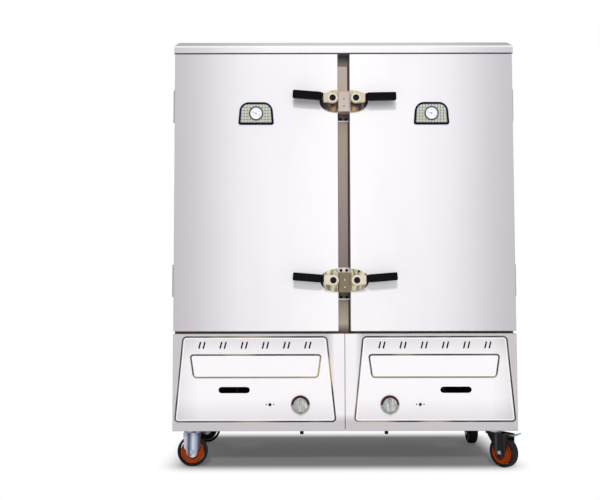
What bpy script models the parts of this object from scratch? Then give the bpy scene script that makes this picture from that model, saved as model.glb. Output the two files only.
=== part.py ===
"""Double-door gas rice steamer cabinet on four 125 mm casters.

Blender 4.5, metres, +Z up. The origin is on the floor, at the centre of the cabinet's
footprint. X runs to the right of someone who faces the doors, and Y runs to the back.
"""

import math

import bmesh
import bpy
from mathutils import Matrix, Vector

# Driving dimensions
BODY_WIDTH = 1.420
BODY_DEPTH = 0.640
TOTAL_HEIGHT = 1.780
CASTER_HEIGHT = 0.155
BURNER_BAY_HEIGHT = 0.398
LID_HEIGHT = 0.052
WALL = 0.040
PARTITION_WIDTH = 0.080
FRONT_REACH = 0.058
PIPE_REACH = 0.045
SEAT_GAP = 0.0003
OVERRUN = 0.004

# Door and face frame
DOOR_THICKNESS = 0.045
DOOR_GAP = 0.051
DOOR_SIDE_INSET = 0.0005
DOOR_TOP_GAP = 0.002
DOOR_FOOT_GAP = 0.010
DOOR_EDGE_RADIUS = 0.0025
PLUG_DEPTH = 0.012
PLUG_MARGIN = 0.014
PLUG_EDGE_RADIUS = 0.004
GASKET_THICKNESS = 0.006
GASKET_WIDTH = 0.014
FRAME_DEPTH = 0.020
HEADER_DROP = 0.040
SILL_HEIGHT = 0.055
SKIRT_RAIL = 0.030

# Levels and planes worked out from them
FRONT_Y = FRONT_REACH - (FRONT_REACH + BODY_DEPTH + PIPE_REACH) / 2
BACK_Y = FRONT_Y + BODY_DEPTH
FRAME_Y = FRONT_Y + DOOR_THICKNESS + GASKET_THICKNESS
SHELL_Y = FRAME_Y + FRAME_DEPTH + SEAT_GAP
BASE_Z = CASTER_HEIGHT
BAY_TOP_Z = BASE_Z + BURNER_BAY_HEIGHT
DOOR_FOOT_Z = BAY_TOP_Z + DOOR_FOOT_GAP
LID_Z = TOTAL_HEIGHT - LID_HEIGHT
DOOR_TOP_Z = LID_Z - DOOR_TOP_GAP
CEILING_Z = LID_Z - HEADER_DROP
SILL_Z = BAY_TOP_Z + SILL_HEIGHT
WALL_X = BODY_WIDTH / 2 - WALL
CHAMBER_WIDTH = WALL_X - PARTITION_WIDTH / 2
CHAMBER_X = PARTITION_WIDTH / 2 + CHAMBER_WIDTH / 2

SIDES = {"left": -1, "right": 1}
SIDE_NAMES = {value: name for name, value in SIDES.items()}

# Facets round a bolt, a pipe and a large disc
BOLT_SIDES = 6
PIPE_SIDES = 10
DISC_SIDES = 20
WHEEL_SIDES = 22
HEX_SIDES = 6

# Angles in degrees above which an edge is rounded or shaded sharp, and welding distances
BEVEL_ANGLE = 40.0
SHARP_ANGLE = 30.0
CAP_WELD = 0.000001
AXIS_WELD = 0.0001

# Colours as linear RGB, with roughness and metallic
MATERIALS = {
    "door_steel": ((0.62, 0.61, 0.63), 0.22, 1.0),
    "casing_steel": ((0.55, 0.55, 0.57), 0.30, 1.0),
    "frame_steel": ((0.38, 0.32, 0.29), 0.35, 1.0),
    "panel_steel": ((0.58, 0.56, 0.62), 0.25, 1.0),
    "gilt_zinc": ((0.62, 0.50, 0.28), 0.28, 1.0),
    "grip_black": ((0.012, 0.012, 0.014), 0.42, 0.0),
    "seal_rubber": ((0.30, 0.29, 0.27), 0.70, 0.0),
    "badge_navy": ((0.02, 0.015, 0.09), 0.35, 0.0),
    "knob_chrome": ((0.70, 0.70, 0.68), 0.15, 1.0),
    "button_black": ((0.01, 0.01, 0.01), 0.40, 0.0),
    "brass": ((0.60, 0.42, 0.15), 0.35, 1.0),
    "cast_iron": ((0.05, 0.05, 0.05), 0.75, 0.6),
    "zinc_fork": ((0.34, 0.38, 0.44), 0.35, 1.0),
    "wheel_rust": ((0.22, 0.035, 0.008), 0.45, 0.0),
    "pedal_steel": ((0.10, 0.22, 0.28), 0.40, 0.6),
}


def clear_scene():
    """Removes whatever the file holds."""
    for obj in list(bpy.data.objects):
        bpy.data.objects.remove(obj, do_unlink=True)


def collection(name):
    """The collection of that name, linked to the scene."""
    found = bpy.data.collections.get(name)
    if found is None:
        found = bpy.data.collections.new(name)
        bpy.context.scene.collection.children.link(found)
    return found


def material(name):
    """A Principled material from the table of colours."""
    found = bpy.data.materials.get(name)
    if found:
        return found
    colour, roughness, metallic = MATERIALS[name]
    found = bpy.data.materials.new(name)
    found.use_nodes = True
    shader = found.node_tree.nodes["Principled BSDF"]
    shader.inputs["Base Color"].default_value = (*colour, 1)
    shader.inputs["Roughness"].default_value = roughness
    shader.inputs["Metallic"].default_value = metallic
    return found


def new_object(name, mesh):
    """An object on the part's collection."""
    obj = bpy.data.objects.new(name, mesh)
    collection("rice_steamer_cabinet").objects.link(obj)
    return obj


def facing_out(shape):
    """Turns every face of a closed shape outwards."""
    bmesh.ops.recalc_face_normals(shape, faces=shape.faces)
    if shape.calc_volume(signed=True) < 0:
        bmesh.ops.reverse_faces(shape, faces=shape.faces)


def from_bmesh(name, shape):
    """Turns a bmesh into an object with its faces pointing out."""
    facing_out(shape)
    mesh = bpy.data.meshes.new(name)
    shape.to_mesh(mesh)
    shape.free()
    return new_object(name, mesh)


def baked(obj):
    """Replaces an object's mesh by what its modifiers make of it."""
    bpy.context.view_layer.update()
    graph = bpy.context.evaluated_depsgraph_get()
    mesh = bpy.data.meshes.new_from_object(obj.evaluated_get(graph))
    obj.modifiers.clear()
    obj.data = mesh
    return obj


def box(low, high):
    """A box between two opposite corners."""
    shape = bmesh.new()
    bmesh.ops.create_cube(shape, size=1)
    size = [abs(b - a) for a, b in zip(low, high)]
    centre = [(a + b) / 2 for a, b in zip(low, high)]
    bmesh.ops.scale(shape, vec=size, verts=shape.verts)
    bmesh.ops.translate(shape, vec=centre, verts=shape.verts)
    return from_bmesh("box", shape)


def rod(start, end, radius, sides=PIPE_SIDES, end_radius=None):
    """A cylinder, or a cone, from one point to another."""
    start, end = Vector(start), Vector(end)
    shape = bmesh.new()
    bmesh.ops.create_cone(
        shape,
        cap_ends=True,
        segments=sides,
        radius1=radius,
        radius2=radius if end_radius is None else end_radius,
        depth=(end - start).length,
    )
    turn = (end - start).to_track_quat("Z", "Y").to_matrix().to_4x4()
    shape.transform(Matrix.Translation((start + end) / 2) @ turn)
    return from_bmesh("rod", shape)


def rod_along_y(x, z, start, end, radius, sides=PIPE_SIDES, end_radius=None):
    """A rod that runs front to back at one X and Z."""
    return rod((x, start, z), (x, end, z), radius, sides, end_radius)


def mesh_of_curve(curve_object):
    """Turns a curve into a closed mesh with its caps welded on."""
    bpy.context.view_layer.update()
    graph = bpy.context.evaluated_depsgraph_get()
    mesh = bpy.data.meshes.new_from_object(curve_object.evaluated_get(graph))
    place = curve_object.matrix_world.copy()
    bpy.data.objects.remove(curve_object, do_unlink=True)
    shape = bmesh.new()
    shape.from_mesh(mesh)
    bmesh.ops.remove_doubles(shape, verts=shape.verts, dist=CAP_WELD)
    shape.transform(place)
    return from_bmesh("curve", shape)


def plate(points, low, high):
    """A flat outline in X and Z, as thick as from one Y to another."""
    curve = bpy.data.curves.new("outline", "CURVE")
    curve.dimensions = "2D"
    curve.fill_mode = "BOTH"
    curve.extrude = abs(high - low) / 2
    spline = curve.splines.new("POLY")
    spline.points.add(len(points) - 1)
    for point, (x, z) in zip(spline.points, points):
        point.co = Vector((x, z, 0)).to_4d()
    spline.use_cyclic_u = True
    outline = new_object("outline", curve)
    outline.rotation_euler = (math.pi / 2, 0, 0)
    outline.location.y = (low + high) / 2
    return mesh_of_curve(outline)


def tube(points, radius, closed=False, sides_level=1):
    """A round tube along a line of points."""
    curve = bpy.data.curves.new("tube", "CURVE")
    curve.dimensions = "3D"
    curve.bevel_depth = radius
    curve.bevel_resolution = sides_level
    curve.use_fill_caps = not closed
    spline = curve.splines.new("POLY")
    spline.points.add(len(points) - 1)
    for point, place in zip(spline.points, points):
        point.co = Vector(place).to_4d()
    spline.use_cyclic_u = closed
    return mesh_of_curve(new_object("tube", curve))


def turned(profile, sides):
    """A closed profile of (radius, height) points, turned about Z."""
    shape = bmesh.new()
    ring = [shape.verts.new((r, 0, z)) for r, z in profile]
    for a, b in zip(ring, ring[1:] + ring[:1]):
        shape.edges.new((a, b))
    mesh = bpy.data.meshes.new("profile")
    shape.to_mesh(mesh)
    shape.free()
    obj = new_object("turned", mesh)
    screw = obj.modifiers.new("Screw", "SCREW")
    screw.steps = sides
    screw.render_steps = sides
    screw.use_merge_vertices = True
    screw.merge_threshold = AXIS_WELD
    baked(obj)
    shape = bmesh.new()
    shape.from_mesh(obj.data)
    bpy.data.objects.remove(obj, do_unlink=True)
    return from_bmesh("turned", shape)


def joined(objects):
    """Several loose bodies as one object, for one Boolean."""
    shape = bmesh.new()
    for obj in objects:
        shape.from_mesh(obj.data)
        bpy.data.objects.remove(obj, do_unlink=True)
    return from_bmesh("joined", shape)


def boolean(target, tools, operation):
    """Joins tools to the target, or cuts them out of it."""
    tool = joined(tools)
    modifier = target.modifiers.new("Boolean", "BOOLEAN")
    modifier.operation = operation
    modifier.solver = "EXACT"
    modifier.object = tool
    baked(target)
    bpy.data.objects.remove(tool, do_unlink=True)
    return target


def cut(target, *tools):
    """Cuts bodies that don't cross one another out of the target."""
    return boolean(target, tools, "DIFFERENCE")


def fuse(target, *tools):
    """Joins the tools to the target one after another."""
    for tool in tools:
        boolean(target, [tool], "UNION")
    return target


def bevelled(obj, radius, segments=2):
    """Rounds the sharp edges."""
    modifier = obj.modifiers.new("Bevel", "BEVEL")
    modifier.width = radius
    modifier.segments = segments
    modifier.limit_method = "ANGLE"
    modifier.angle_limit = math.radians(BEVEL_ANGLE)
    return baked(obj)


def moved(obj, matrix):
    """Carries a mesh by a matrix."""
    obj.data.transform(matrix)
    return obj


def mirrored(obj, side):
    """The shape as drawn for the right, or its mirror image for the left."""
    if side > 0:
        return obj
    shape = bmesh.new()
    shape.from_mesh(obj.data)
    shape.transform(Matrix.Diagonal((-1, 1, 1, 1)))
    bmesh.ops.reverse_faces(shape, faces=shape.faces)
    shape.to_mesh(obj.data)
    shape.free()
    return obj


def arc(centre, radius, start, end, steps):
    """Points along a circle, from one angle in degrees to another."""
    angles = [math.radians(start + (end - start) * k / steps) for k in range(steps + 1)]
    return [(centre[0] + radius * math.cos(a), centre[1] + radius * math.sin(a)) for a in angles]


def rounded(corners, radius, steps=2):
    """An outline with each corner replaced by an arc."""
    points = []
    for k, corner in enumerate(corners):
        here = Vector(corner)
        back = (Vector(corners[k - 1]) - here).normalized()
        ahead = (Vector(corners[(k + 1) % len(corners)]) - here).normalized()
        half = back.angle(ahead) / 2
        middle = here + (back + ahead).normalized() * radius / math.sin(half)
        first = here + back * radius / math.tan(half) - middle
        last = here + ahead * radius / math.tan(half) - middle
        sweep = first.angle_signed(last)
        for n in range(steps + 1):
            points.append(tuple(middle + Matrix.Rotation(-sweep * n / steps, 2) @ first))
    return points


def slot_outline(centre, length, width, heading, steps):
    """A round-ended slot's outline, its length at that angle in degrees from +X."""
    radius = width / 2
    reach = length / 2 - radius
    along, up = reach * math.cos(math.radians(heading)), reach * math.sin(math.radians(heading))
    far = arc((centre[0] + along, centre[1] + up), radius, heading + 90, heading - 90, steps)
    near = arc((centre[0] - along, centre[1] - up), radius, heading + 270, heading + 90, steps)
    return far + near


def finish(name, obj, look, origin=(0, 0, 0)):
    """Names a finished solid, colours it and puts its origin on its joint's axis."""
    obj.name = name
    obj.data.name = name
    obj.data.materials.clear()
    obj.data.materials.append(material(look))
    obj.data.transform(Matrix.Translation(-Vector(origin)))
    obj.location = origin
    obj.data.shade_smooth()
    obj.data.set_sharp_from_angle(angle=math.radians(SHARP_ANGLE))
    return obj


def mount_on(name, place, objects):
    """Hangs a moving body's solids on an empty at its joint."""
    empty = bpy.data.objects.new(name, None)
    collection("rice_steamer_cabinet").objects.link(empty)
    empty.location = place
    bpy.context.view_layer.update()
    for obj in objects:
        obj.parent = empty
        obj.matrix_parent_inverse = empty.matrix_world.inverted()
    return empty


# Lid
LID_OVERHANG = 0.0025
LID_BEVEL = 0.020
SHADOW_GAP = 0.004


def top_cover():
    """The lid, with its sloped rim, and the insulated ceiling fused below it."""
    reach = BODY_WIDTH / 2 + LID_OVERHANG
    front = FRONT_Y - LID_OVERHANG
    rim = TOTAL_HEIGHT - LID_BEVEL
    lid = box((-reach, front, LID_Z), (reach, BACK_Y, TOTAL_HEIGHT))
    above = TOTAL_HEIGHT + OVERRUN
    for side in SIDES.values():
        corner = [
            (side * (reach + OVERRUN), rim - OVERRUN),
            (side * (reach + OVERRUN), above),
            (side * (reach - LID_BEVEL - OVERRUN), above),
        ]
        cut(lid, plate(corner, front - OVERRUN, BACK_Y + OVERRUN))
    edge = front - OVERRUN
    slope_line = [(edge, rim - OVERRUN), (edge, above), (front + LID_BEVEL + OVERRUN, above)]
    slope = plate(slope_line, -reach - OVERRUN, reach + OVERRUN)
    cut(lid, moved(slope, Matrix.Rotation(math.pi / 2, 4, "Z")))
    inner = WALL_X - SEAT_GAP
    inner_back = BACK_Y - WALL - SEAT_GAP
    fuse(lid, box((-inner, SHELL_Y, CEILING_Z), (inner, inner_back, LID_Z + OVERRUN)))
    return finish("top_cover", lid, "casing_steel")


# Vent, water and drain stubs on the back, and the flue slots
STUB_RADIUS = 0.013
STUB_BORE = 0.010
STUB_FLANGE_RADIUS = 0.026
STUB_FLANGE_THICKNESS = 0.005
STEAM_VENT_DROP = 0.090
WATER_STUB_RISE = 0.030
FLUE_SLOTS = 4
FLUE_SLOT_WIDTH = 0.180
FLUE_SLOT_HEIGHT = 0.010
FLUE_PITCH = 0.024
FLUE_RISE = 0.205
FLUE_Z = BASE_Z + FLUE_RISE
GAS_INLET_INSET = 0.070
GAS_PIPE_RADIUS = 0.0105
PIPE_HOLE_GAP = 0.0008
GAS_RAIL_RISE = 0.050
GAS_INLET_X = WALL_X - GAS_INLET_INSET
GAS_RAIL_Z = BASE_Z + GAS_RAIL_RISE


def side_panel(name, side):
    """A foam-filled side wall, from the base to the lid."""
    low = (side * WALL_X, SHELL_Y, BASE_Z)
    high = (side * BODY_WIDTH / 2, BACK_Y, LID_Z - SEAT_GAP)
    return finish(f"{name}_side_panel", box(low, high), "casing_steel")


def back_panel():
    """The foam-filled back wall with its steam vents, water inlets, flue slots and gas hole."""
    reach = WALL_X - SEAT_GAP
    front = BACK_Y - WALL
    panel = box((-reach, front, BASE_Z), (reach, BACK_Y, LID_Z - SEAT_GAP))
    tail = BACK_Y + PIPE_REACH
    bores = []
    for side in SIDES.values():
        for height in (CEILING_Z - STEAM_VENT_DROP, SILL_Z + WATER_STUB_RISE):
            x = side * CHAMBER_X
            flange_end = BACK_Y + STUB_FLANGE_THICKNESS
            flange = rod_along_y(x, height, BACK_Y - OVERRUN, flange_end, STUB_FLANGE_RADIUS)
            stub = rod_along_y(x, height, front + OVERRUN, tail, STUB_RADIUS)
            fuse(panel, flange, stub)
            bores.append(rod_along_y(x, height, front - OVERRUN, tail + OVERRUN, STUB_BORE))
        for k in range(FLUE_SLOTS):
            z = FLUE_Z + k * FLUE_PITCH
            low_x = side * CHAMBER_X - FLUE_SLOT_WIDTH / 2
            high_x = low_x + FLUE_SLOT_WIDTH
            low = (low_x, front - OVERRUN, z)
            bores.append(box(low, (high_x, BACK_Y + OVERRUN, z + FLUE_SLOT_HEIGHT)))
    hole = GAS_PIPE_RADIUS + PIPE_HOLE_GAP
    bores.append(rod_along_y(GAS_INLET_X, GAS_RAIL_Z, front - OVERRUN, BACK_Y + OVERRUN, hole))
    cut(panel, *bores)
    return finish("back_panel", panel, "casing_steel")


# Gas rail
RAIL_SETBACK = 0.025
RAIL_Y = SHELL_Y + RAIL_SETBACK


def centre_partition():
    """The insulated wall between the chambers, with a hole for the gas rail."""
    half = PARTITION_WIDTH / 2
    inner_back = BACK_Y - WALL - SEAT_GAP
    wall = box((-half, SHELL_Y, BASE_Z), (half, inner_back, CEILING_Z - SEAT_GAP))
    hole = GAS_PIPE_RADIUS + PIPE_HOLE_GAP
    reach = half + OVERRUN
    cut(wall, rod((-reach, RAIL_Y, GAS_RAIL_Z), (reach, RAIL_Y, GAS_RAIL_Z), hole))
    return finish("centre_partition", wall, "casing_steel")


# Mullion details
MULLION_CLIP_HEIGHT = 0.041
MULLION_CLIP_THICKNESS = 0.003
MULLION_CLIP_SCREW_RADIUS = 0.005
MULLION_CLIP_INSET = 0.002
SIDE_STILE = WALL


def front_frame():
    """The stiles, mullion, header, sill and bottom rail round the doorways and burner bays."""
    half = BODY_WIDTH / 2
    frame = box((-half, FRAME_Y, BASE_Z), (half, FRAME_Y + FRAME_DEPTH, LID_Z - SEAT_GAP))
    levels = ((SILL_Z, CEILING_Z), (BASE_Z + SKIRT_RAIL, BAY_TOP_Z - SKIRT_RAIL))
    holes = []
    for side in SIDES.values():
        near, far = side * PARTITION_WIDTH / 2, side * (half - SIDE_STILE)
        for low, high in levels:
            holes.append(box((near, FRAME_Y - OVERRUN, low), (far, SHELL_Y + OVERRUN, high)))
    cut(frame, *holes)
    clip_low = LID_Z - MULLION_CLIP_HEIGHT
    reach = DOOR_GAP / 2 - MULLION_CLIP_INSET
    clip_front = FRAME_Y - MULLION_CLIP_THICKNESS
    clip = box((-reach, clip_front, clip_low), (reach, FRAME_Y + OVERRUN, LID_Z - SHADOW_GAP))
    screw_z = LID_Z - MULLION_CLIP_SCREW_RADIUS * 2
    head_y = clip_front - MULLION_CLIP_THICKNESS
    screw = rod_along_y(0, screw_z, head_y, FRAME_Y, MULLION_CLIP_SCREW_RADIUS, BOLT_SIDES)
    fuse(frame, clip, screw)
    return finish("front_frame", frame, "frame_steel")


# Water tanks
TANK_DEPTH = 0.130
TANK_WALL = 0.003
TANK_RIM = 0.012


def water_tank(name, side):
    """The open water tank that is the chamber's floor, with its rim turned in."""
    low_x = side * CHAMBER_X - CHAMBER_WIDTH / 2 + SEAT_GAP
    high_x = low_x + CHAMBER_WIDTH - 2 * SEAT_GAP
    low_y, high_y = SHELL_Y, BACK_Y - WALL - SEAT_GAP
    foot = SILL_Z - TANK_DEPTH
    tank = box((low_x, low_y, foot), (high_x, high_y, SILL_Z))
    inside = box((low_x + TANK_WALL, low_y + TANK_WALL, foot + TANK_WALL),
                 (high_x - TANK_WALL, high_y - TANK_WALL, SILL_Z - TANK_WALL))
    mouth = box((low_x + TANK_RIM, low_y + TANK_RIM, SILL_Z - TANK_WALL - OVERRUN),
                (high_x - TANK_RIM, high_y - TANK_RIM, SILL_Z + OVERRUN))
    cut(tank, fuse(inside, mouth))
    return finish(f"{name}_water_tank", tank, "casing_steel")


# Base frame, with the plates and kingpins of the swivel casters
RAIL_SIZE = 0.030
RAIL_DROP = 0.001
CASTER_INSET = 0.035
CASTER_END_SETBACK = 0.070
CASTER_PLATE_LENGTH = 0.100
CASTER_PLATE_WIDTH = 0.080
CASTER_PLATE_THICKNESS = 0.004
RACE_RADIUS = 0.030
RACE_HEIGHT = 0.009
KINGPIN_RADIUS = 0.006
KINGPIN_NUT_RADIUS = 0.010
KINGPIN_NUT_HEIGHT = 0.004
DRAIN_STUB_X = 0.178
DRAIN_STUB_RADIUS = 0.006
DRAIN_STUB_DROP = 0.006

# Wheels and forks
WHEEL_RADIUS = 0.0625
WHEEL_WIDTH = 0.036
TYRE_THICKNESS = 0.012
WHEEL_BORE = 0.0063
HUB_RADIUS = 0.020
HUB_OVERHANG = 0.0015
HUB_DISH = 0.007
TREAD_RADIUS = 0.006
FORK_CROWN_THICKNESS = 0.010
FORK_CROWN_RADIUS = 0.028
FORK_LEG_THICKNESS = 0.003
FORK_LEG_GAP = 0.0010
FORK_TOP_HALF_WIDTH = 0.035
FORK_FOOT_RADIUS = 0.0165
FORK_FOOT_ANGLE = 8.0
FORK_FOOT_STEPS = 6
AXLE_RADIUS = 0.006
AXLE_HEAD_RADIUS = 0.010
AXLE_HEAD_HEIGHT = 0.005
SWIVEL_TRAIL = 0.040
FRONT_SWIVEL_HEADING = -53.0
REAR_SWIVEL_HEADING = -90.0

PLATE_TOP_Z = BASE_Z - SEAT_GAP
RACE_TOP_Z = PLATE_TOP_Z - CASTER_PLATE_THICKNESS
CROWN_TOP_Z = RACE_TOP_Z - RACE_HEIGHT - SEAT_GAP
CROWN_FOOT_Z = CROWN_TOP_Z - FORK_CROWN_THICKNESS
LEG_INNER = WHEEL_WIDTH / 2 + HUB_OVERHANG + FORK_LEG_GAP
LEG_OUTER = LEG_INNER + FORK_LEG_THICKNESS
CASTER_X = WALL_X - CASTER_INSET
CASTER_FRONT_Y = FRONT_Y + CASTER_END_SETBACK
CASTER_REAR_Y = BACK_Y - CASTER_END_SETBACK
CASTER_PLACES = {
    "front_left": (-CASTER_X, CASTER_FRONT_Y, None),
    "rear_left": (-CASTER_X, CASTER_REAR_Y, None),
    "front_right": (CASTER_X, CASTER_FRONT_Y, FRONT_SWIVEL_HEADING),
    "rear_right": (CASTER_X, CASTER_REAR_Y, REAR_SWIVEL_HEADING),
}


def base_frame():
    """The welded tube chassis between the side walls, with what the swivel casters turn on."""
    reach = WALL_X - SEAT_GAP
    front, back = SHELL_Y, BACK_Y - WALL - SEAT_GAP
    low, high = BASE_Z - RAIL_DROP, BASE_Z + RAIL_SIZE
    half = PARTITION_WIDTH / 2 + SEAT_GAP
    frame = box((-reach, front, low), (reach, back, high))
    bay_front, bay_back = front + RAIL_SIZE, back - RAIL_SIZE
    middle = (bay_front + bay_back) / 2
    bays = []
    for side in SIDES.values():
        near = side * (half + RAIL_SIZE)
        far = side * (reach - RAIL_SIZE)
        for start, end in ((bay_front, middle - RAIL_SIZE / 2), (middle + RAIL_SIZE / 2, bay_back)):
            bays.append(box((near, start, low - OVERRUN), (far, end, high + OVERRUN)))
    above = high + OVERRUN
    slot_top = box((-half, front - OVERRUN, BASE_Z - SEAT_GAP), (half, back + OVERRUN, above))
    cut(frame, slot_top, *bays)
    for side in SIDES.values():
        x = side * DRAIN_STUB_X
        y = front + RAIL_SIZE / 2
        foot = low - DRAIN_STUB_DROP
        fuse(frame, rod((x, y, foot), (x, y, low + OVERRUN), DRAIN_STUB_RADIUS, BOLT_SIDES))
    for x, y, heading in CASTER_PLACES.values():
        if heading is None:
            continue
        fuse(frame, caster_plate(x, y, PLATE_TOP_Z))
        race_low = RACE_TOP_Z - RACE_HEIGHT
        nut_top = CROWN_FOOT_Z - SEAT_GAP
        nut_low = nut_top - KINGPIN_NUT_HEIGHT
        race_top = RACE_TOP_Z + OVERRUN / 2
        pin_foot = nut_low + OVERRUN / 4
        fuse(frame, rod((x, y, race_low), (x, y, race_top), RACE_RADIUS, DISC_SIDES))
        fuse(frame, rod((x, y, pin_foot), (x, y, race_low + OVERRUN / 2), KINGPIN_RADIUS))
        fuse(frame, rod((x, y, nut_low), (x, y, nut_top), KINGPIN_NUT_RADIUS, HEX_SIDES))
    return finish("base_frame", frame, "casing_steel")


def caster_plate(x, y, top):
    """A caster's fixing plate."""
    length, width = CASTER_PLATE_LENGTH / 2, CASTER_PLATE_WIDTH / 2
    low = (x - length, y - width, top - CASTER_PLATE_THICKNESS)
    return box(low, (x + length, y + width, top))


def fork_leg(side, trail, top, front_half):
    """One leg of a fork: wide at the crown, round about the axle."""
    angles = (-FORK_FOOT_ANGLE, FORK_FOOT_ANGLE - 180)
    foot = arc((trail, WHEEL_RADIUS), FORK_FOOT_RADIUS, *angles, FORK_FOOT_STEPS)
    points = [(-FORK_TOP_HALF_WIDTH, top), (front_half, top)] + foot
    return plate(points, side * LEG_INNER, side * LEG_OUTER)


def axle(trail):
    """The wheel's bolt, with a head on each side."""
    reach = LEG_OUTER + AXLE_HEAD_HEIGHT
    bolt = rod_along_y(trail, WHEEL_RADIUS, -reach, reach, AXLE_RADIUS)
    for side in SIDES.values():
        start, end = side * (LEG_OUTER - FORK_LEG_THICKNESS / 2), side * reach
        fuse(bolt, rod_along_y(trail, WHEEL_RADIUS, start, end, AXLE_HEAD_RADIUS, HEX_SIDES))
    return bolt


def caster_frame(place):
    """Where a caster stands and which way it heads, with its wheel trailing along local X."""
    x, y, heading = CASTER_PLACES[place]
    return Matrix.Translation((x, y, 0)) @ Matrix.Rotation(math.radians(heading or 0), 4, "Z")


def rigid_fork(place):
    """A fixed caster's plate, legs and axle in one weldment."""
    top = BASE_Z - RAIL_DROP - SEAT_GAP
    fork = caster_plate(0, 0, top)
    leg_top = top - CASTER_PLATE_THICKNESS / 2
    for side in SIDES.values():
        fuse(fork, fork_leg(side, 0, leg_top, FORK_TOP_HALF_WIDTH))
    fuse(fork, axle(0))
    return finish(f"{place}_caster_fork", moved(fork, caster_frame(place)), "zinc_fork")


# Brake pedal of the front swivel caster
PEDAL_PIVOT_TRAIL = 0.045
PEDAL_PIVOT_Z = 0.1315
PEDAL_PIN_RADIUS = 0.003
PEDAL_PIN_GAP = 0.0005
PEDAL_HALF_WIDTH = 0.017
PEDAL_BODY_START = 0.034
PEDAL_BODY_END = 0.078
PEDAL_BODY_THICKNESS = 0.010
PEDAL_TIP = 0.116
PEDAL_TIP_RISE = 0.012
PEDAL_TIP_THICKNESS = 0.004
SWIVEL_LEG_FRONT = 0.056


def swivel_fork(place):
    """A swivel caster's crown, legs and axle, with the kingpin's bore and the pedal's pin holes."""
    crown = rod((0, 0, CROWN_FOOT_Z), (0, 0, CROWN_TOP_Z), FORK_CROWN_RADIUS, DISC_SIDES)
    bridge_low = (-FORK_TOP_HALF_WIDTH, -LEG_OUTER, CROWN_FOOT_Z)
    bridge_high = (FORK_CROWN_RADIUS, LEG_OUTER, CROWN_TOP_Z)
    fork = fuse(crown, box(bridge_low, bridge_high))
    for side in SIDES.values():
        fuse(fork, fork_leg(side, SWIVEL_TRAIL, CROWN_TOP_Z - SEAT_GAP, SWIVEL_LEG_FRONT))
    bore = KINGPIN_RADIUS + SEAT_GAP * 2
    cut(fork, rod((0, 0, CROWN_FOOT_Z - OVERRUN), (0, 0, CROWN_TOP_Z + OVERRUN), bore))
    reach = LEG_OUTER + OVERRUN
    hole = PEDAL_PIN_RADIUS + PEDAL_PIN_GAP
    cut(fork, rod_along_y(PEDAL_PIVOT_TRAIL, PEDAL_PIVOT_Z, -reach, reach, hole))
    fuse(fork, axle(SWIVEL_TRAIL))
    origin = CASTER_PLACES[place][:2] + (CROWN_TOP_Z,)
    return finish(f"{place}_caster_fork", moved(fork, caster_frame(place)), "zinc_fork", origin)


def brake_pedal(place):
    """The toe lever above the wheel, pivoting on a pin between the fork's legs."""
    low = PEDAL_PIVOT_Z - PEDAL_BODY_THICKNESS / 2
    high = PEDAL_PIVOT_Z + PEDAL_BODY_THICKNESS / 2
    tip = high + PEDAL_TIP_RISE
    outline = [
        (PEDAL_BODY_START, low),
        (PEDAL_BODY_END, low),
        (PEDAL_TIP, tip - PEDAL_TIP_THICKNESS),
        (PEDAL_TIP, tip),
        (PEDAL_BODY_END, high),
        (PEDAL_BODY_START, high),
    ]
    pedal = plate(outline, -PEDAL_HALF_WIDTH, PEDAL_HALF_WIDTH)
    pin_ends = (-LEG_OUTER, LEG_OUTER)
    fuse(pedal, rod_along_y(PEDAL_PIVOT_TRAIL, PEDAL_PIVOT_Z, *pin_ends, PEDAL_PIN_RADIUS))
    frame = caster_frame(place)
    origin = frame @ Vector((PEDAL_PIVOT_TRAIL, 0, PEDAL_PIVOT_Z))
    return finish(f"{place}_brake_pedal", moved(pedal, frame), "pedal_steel", origin)


def wheel(place):
    """A solid rubber tyre on a dished core, turning on the fork's bolt, with a flat on the floor."""
    half = WHEEL_WIDTH / 2
    core = WHEEL_RADIUS - TYRE_THICKNESS
    hub = half + HUB_OVERHANG
    tread = WHEEL_RADIUS / math.cos(math.pi / WHEEL_SIDES)
    right = [
        (WHEEL_BORE, hub),
        (HUB_RADIUS, hub),
        (HUB_RADIUS + HUB_OVERHANG, half - HUB_DISH),
        (core, half - HUB_DISH),
        (core + HUB_OVERHANG, half),
        (tread, half - TREAD_RADIUS),
    ]
    profile = right + [(r, -z) for r, z in reversed(right)]
    shape = turned(profile, WHEEL_SIDES)
    moved(shape, Matrix.Rotation(math.pi / 2, 4, "X"))
    trail = 0 if CASTER_PLACES[place][2] is None else SWIVEL_TRAIL
    frame = caster_frame(place)
    moved(shape, frame @ Matrix.Translation((trail, 0, WHEEL_RADIUS)))
    origin = frame @ Vector((trail, 0, WHEEL_RADIUS))
    return finish(f"{place}_caster_wheel", shape, "wheel_rust", origin)


# Pressed front panels
PANEL_SHEET = 0.003
PANEL_SPLIT = 0.002
PANEL_EDGE_RADIUS = 0.0015
GROOVE_RADIUS = 0.0025
GROOVE_OFFSET = 0.001
OUTER_TOP_NEAR = 0.075
OUTER_TOP_FAR_INSET = 0.042
OUTER_TOP_DROP = 0.013
OUTER_FOOT_NEAR = 0.039
OUTER_FOOT_FAR_INSET = 0.010
OUTER_FOOT_RISE = 0.039
OUTER_CORNER = 0.015
INNER_TOP_NEAR = 0.099
INNER_TOP_FAR_INSET = 0.073
INNER_TOP_DROP = 0.087
INNER_FOOT_NEAR = 0.112
INNER_FOOT_FAR_INSET = 0.087
INNER_FOOT_DROP = 0.179
INNER_CORNER = 0.012
HALF_WIDTH = BODY_WIDTH / 2
OUTER_TOP = (OUTER_TOP_NEAR, HALF_WIDTH - OUTER_TOP_FAR_INSET, BAY_TOP_Z - OUTER_TOP_DROP)
OUTER_FOOT = (OUTER_FOOT_NEAR, HALF_WIDTH - OUTER_FOOT_FAR_INSET, BASE_Z + OUTER_FOOT_RISE)
INNER_TOP = (INNER_TOP_NEAR, HALF_WIDTH - INNER_TOP_FAR_INSET, BAY_TOP_Z - INNER_TOP_DROP)
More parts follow.
